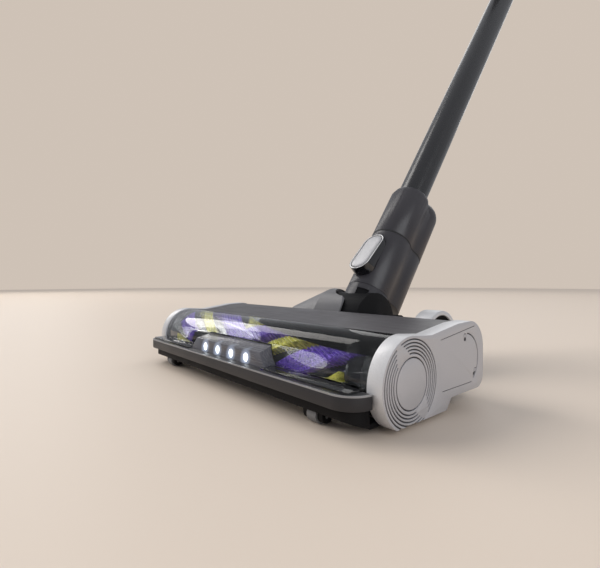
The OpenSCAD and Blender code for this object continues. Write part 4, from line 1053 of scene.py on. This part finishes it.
left, right = span(button_right)
bottom, top = span(button_up)
back, front = span(outward)
button_middle = button_right * (left + right) / 2 + button_up * (bottom + top) / 2 + outward * back
button_wide = right - left
button_long = top - bottom
facing = Matrix((button_right, button_up, outward)).transposed().to_4x4()
pod_face = max(v.co.dot(outward) for v in nodes["button_pod"].data.vertices) - back
print("button", round(button_long, 4), "by", round(button_wide, 4), "pod face", round(pod_face, 4))

# %% Shape the button
CROWN = ((0.5 * MM, 0.32 * MM), (1.2 * MM, 0.34 * MM), (2.2 * MM, 0.28 * MM), (3.0 * MM, 0.14 * MM))
CROWN_RISE = 1.1 * MM
button = stadium("button_crowned", button_long, button_wide, front - back - CROWN_RISE, CROWN)
place_in(button, Matrix.Translation(button_middle) @ facing)
smooth(button, 40)
settle(button, body_of_node["neck_button"], "silver_button", button_silver, "neck_button")

# %% Lay the rim round it
RIM_OUTER = 5.0 * MM
RIM_INNER = 3.0 * MM
rim = stadium("pod_rim", button_long + RIM_OUTER, button_wide + RIM_OUTER, 0.6 * MM)
hollow = stadium("hollow", button_long + RIM_INNER, button_wide + RIM_INNER, 3 * MM)
place_in(hollow, Matrix.Translation((0, 0, -1 * MM)))
carve(rim, hollow)
use_modifier(rim, "BEVEL", width=0.2 * MM, segments=2, limit_method="ANGLE")
place_in(rim, Matrix.Translation(button_middle + outward * (pod_face - 0.25 * MM)) @ facing)
smooth(rim)
settle(rim, "neck", "silver_button", light_silver_and_band_highlight)

# %% [markdown]
# ## Return springs
# A coil spring of steel wire pushes the neck button back out, and another does so for the trigger. A
# curve with a round section could follow the helix, but each point of it would have to be worked out.
# Here the section of the wire is a small ring, and a Screw modifier sweeps it up the helix. A spring
# gets shorter when its button is pressed.

# %% Wind the springs
WIRE = 0.35 * MM
COILS = 5


def wind_spring(node, joint):
    """A coil that fills a spring's solid."""
    push = Vector(joints[joint]["axis"])
    middle = sum(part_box(node), Vector()) / 2
    points = [v.co - middle for v in nodes[node].data.vertices]
    length = max(p.dot(push) for p in points) - min(p.dot(push) for p in points)
    outer = max((p - push * p.dot(push)).length for p in points)
    bpy.ops.mesh.primitive_circle_add(
        vertices=8, radius=WIRE, location=(outer - WIRE, 0, WIRE), rotation=(math.radians(90), 0, 0)
    )
    coil = begin(node + "_coil")
    bpy.ops.object.transform_apply(location=True, rotation=True, scale=True)
    use_modifier(
        coil, "SCREW", iterations=COILS, screw_offset=(length - 2 * WIRE) / COILS, steps=20,
        render_steps=20, use_smooth_shade=True,
    )
    edit(coil)
    bpy.ops.mesh.fill_holes(sides=8)
    bpy.ops.mesh.select_all(action="SELECT")
    bpy.ops.mesh.normals_make_consistent(inside=False)
    along_push = push.to_track_quat("Z", "Y").to_matrix().to_4x4()
    place_in(coil, Matrix.Translation(middle - push * length / 2) @ along_push)
    smooth(coil, 50)
    settle(coil, body_of_node[node], slot_of_node[node], steel, node)
    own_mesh(coil)


wind_spring("button_spring", "neck_button_press")
wind_spring("trigger_spring", "trigger_pull")

# %% [markdown]
# ## Headlights
# Each lens is a shallow dome. A squashed sphere would have a pole in its middle, so the dome is turned
# from its rim inwards. One is made, and an Array modifier repeats it along the head.

# %% Make the lenses
dome = turned("lens_domes", [
    (0.97 * lens_r, -2.4 * MM), (0.97 * lens_r, 0), (0.86 * lens_r, 0.16 * MM),
    (0.62 * lens_r, 0.28 * MM), (0.3 * lens_r, 0.34 * MM),
], 32)
facing_front = Matrix.Rotation(math.radians(90), 4, "X")
place_in(dome, Matrix.Translation((lens_low.x + lens_r, lens_low.y, lens_z)) @ facing_front)
row_of(dome, LENSES, (lens_pitch, 0, 0))
smooth(dome, 50)
settle(dome, "head", "lens", lens_glow, "light_lenses")

# %% [markdown]
# ## Trim on the bumper
# A thin bright strip runs along the bumper's upper front edge. It could be swept along a curve, but the
# bumper already holds the right outline. So it is the top slice of the bumper, with all but a narrow
# edge carved away by a second slice that is a little shorter and stands a little further back.

# %% Slice the bumper's trim
TRIM_HEIGHT = 0.8 * MM
TRIM_WIDTH = 1.1 * MM
CLEARANCE = 0.6 * MM
bumper_low, bumper_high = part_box("front_bumper")


def top_slice(name, thickness):
    """The top of the bumper, as a new piece in edit mode."""
    piece = copy_of("front_bumper", name)
    floor_of_slice = Vector((0, 0, bumper_high.z - thickness))
    keep_between(Vector((0, 0, 1)), floor_of_slice, Vector((0, 0, bumper_high.z + 1 * MM)))
    return piece


trim = top_slice("bumper_trim", TRIM_HEIGHT)
bpy.ops.transform.shrink_fatten(value=0.05 * MM)
keep_out = top_slice("keep_out", TRIM_HEIGHT + CLEARANCE)
shorter = 1 - 2 * TRIM_WIDTH / (bumper_high.x - bumper_low.x)
set_back = Matrix.Translation((0, TRIM_WIDTH, CLEARANCE))
place_in(keep_out, set_back @ Matrix.Diagonal((shorter, 1, 1, 1)))
carve(trim, keep_out)
smooth(trim, 40)
settle(trim, "head", "light_grey_plastic", trim_silver)

# %% [markdown]
# ## Rear wheel centres
# A dark dish fills the recess of each rear wheel, with a small cap over the end of its axle. It is round
# all over, so it is one turned shape, whose profile runs from its rim to the middle of the cap.

# %% Make the wheel centres
for side, name in ((-1, "left"), (1, "right")):
    low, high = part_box("rear_wheel_" + name)
    wheel_r = (high.z - low.z) / 2
    outer = high.x if side > 0 else low.x
    rim_r = wheel_r - 4.6 * MM
    dish = turned("wheel_centre_" + name, [
        (rim_r, -6.4 * MM), (rim_r, -1.4 * MM), (rim_r - 0.8 * MM, -1.1 * MM),
        (rim_r - 3.9 * MM, -4.4 * MM), (9.4 * MM, -5.2 * MM), (8.6 * MM, -2.6 * MM),
        (7.2 * MM, -1.9 * MM),
    ], 72)
    middle = Matrix.Translation((outer, (low.y + high.y) / 2, (low.z + high.z) / 2))
    place_in(dish, middle @ Matrix.Rotation(side * math.pi / 2, 4, "Y"))
    smooth(dish, 35)
    settle(dish, body_of_node["rear_wheel_" + name], "black_plastic", black_and_painted_shade)
print("wheel radius", round(wheel_r, 4))

# %% [markdown]
# ## Brush window
# The window is one clear moulding. Its edges are rounded like the others, which gives it the bright
# outline that clear plastic has. Only the sharpest edges are taken, because a bevel on its gentle curve
# would show as lines in the glass.

# %% Round the window
rounded("brush_window", 0.25 * MM, degrees=50)

# %% [markdown]
# ## Hood
# The hood is one smooth shell, from a horn over the wheel to a collar round the hinge. Subdividing it
# would shrink it away from its neighbours. Its faces meet at shallow angles, so it is enough to shade
# them as one surface.

# %% Smooth the hood
hood = bpy.data.objects["hinge_hood_rounded"]
smooth(hood, 55)
print("hood faces:", len(hood.data.polygons))

# %% [markdown]
# ## Hand unit
# The screen is a disc of dark glass in its recess, turned so that its edge is soft. A rubber seal lies
# round the bin door's plug, as a torus. The soft pad on the grip has ribs for the fingers. Ribs that are
# modelled on their own would need the pad's curve, so each is a slice of the pad that swells a little.

# %% Make the screen
SCREEN_OFFSET = 5 * MM
SCREEN_DEPTH = 0.62 * MM
pod_low, pod_high = wand_box("display_pod")
pod_middle = (pod_low.y + pod_high.y) / 2
screen = turned("screen", [
    (13.9 * MM, 0), (13.9 * MM, 0.3 * MM), (13.4 * MM, 0.45 * MM), (9 * MM, 0.55 * MM),
    (4 * MM, 0.6 * MM),
], 72)
screen_place = (0, pod_middle - SCREEN_OFFSET, pod_high.z - SCREEN_DEPTH)
place_in(screen, wand_frame @ Matrix.Translation(screen_place))
smooth(screen, 40)
settle(screen, body_of_node["display_pod"], "screen_black", screen_glass)

# %% Make the seal
SEAL_R = 46.9 * MM
SEAL_THICK = 0.9 * MM
door_top = wand_box("bin_door")[1].z
bpy.ops.mesh.primitive_torus_add(
    major_radius=SEAL_R, minor_radius=SEAL_THICK, major_segments=96, minor_segments=12
)
seal = begin("door_seal")
place_in(seal, wand_frame @ Matrix.Translation((0, pod_middle, door_top - 1.4 * MM)))
smooth(seal, 60)
settle(seal, body_of_node["bin_door"], "rubber", black_rubber)

# %% Make the ribs
RIB_GAP = 7 * MM
FIRST_RIB = 8 * MM
RIB_WIDTH = 3 * MM
pad_low, pad_high = wand_box("grip_pad")
rib_count = int((pad_high.y - pad_low.y - 2 * FIRST_RIB) / RIB_GAP)
rib = copy_of("grip_pad", "pad_ribs")
keep_between(
    wand_under,
    wand_frame @ Vector((0, pad_low.y + FIRST_RIB, 0)),
    wand_frame @ Vector((0, pad_low.y + FIRST_RIB + RIB_WIDTH, 0)),
)
bpy.ops.transform.shrink_fatten(value=0.35 * MM)
row_of(rib, rib_count, wand_under * RIB_GAP)
use_modifier(rib, "BEVEL", width=0.3 * MM, segments=2, limit_method="ANGLE")
smooth(rib, 40)
settle(rib, body_of_node["grip_pad"], "rubber", black_rubber)
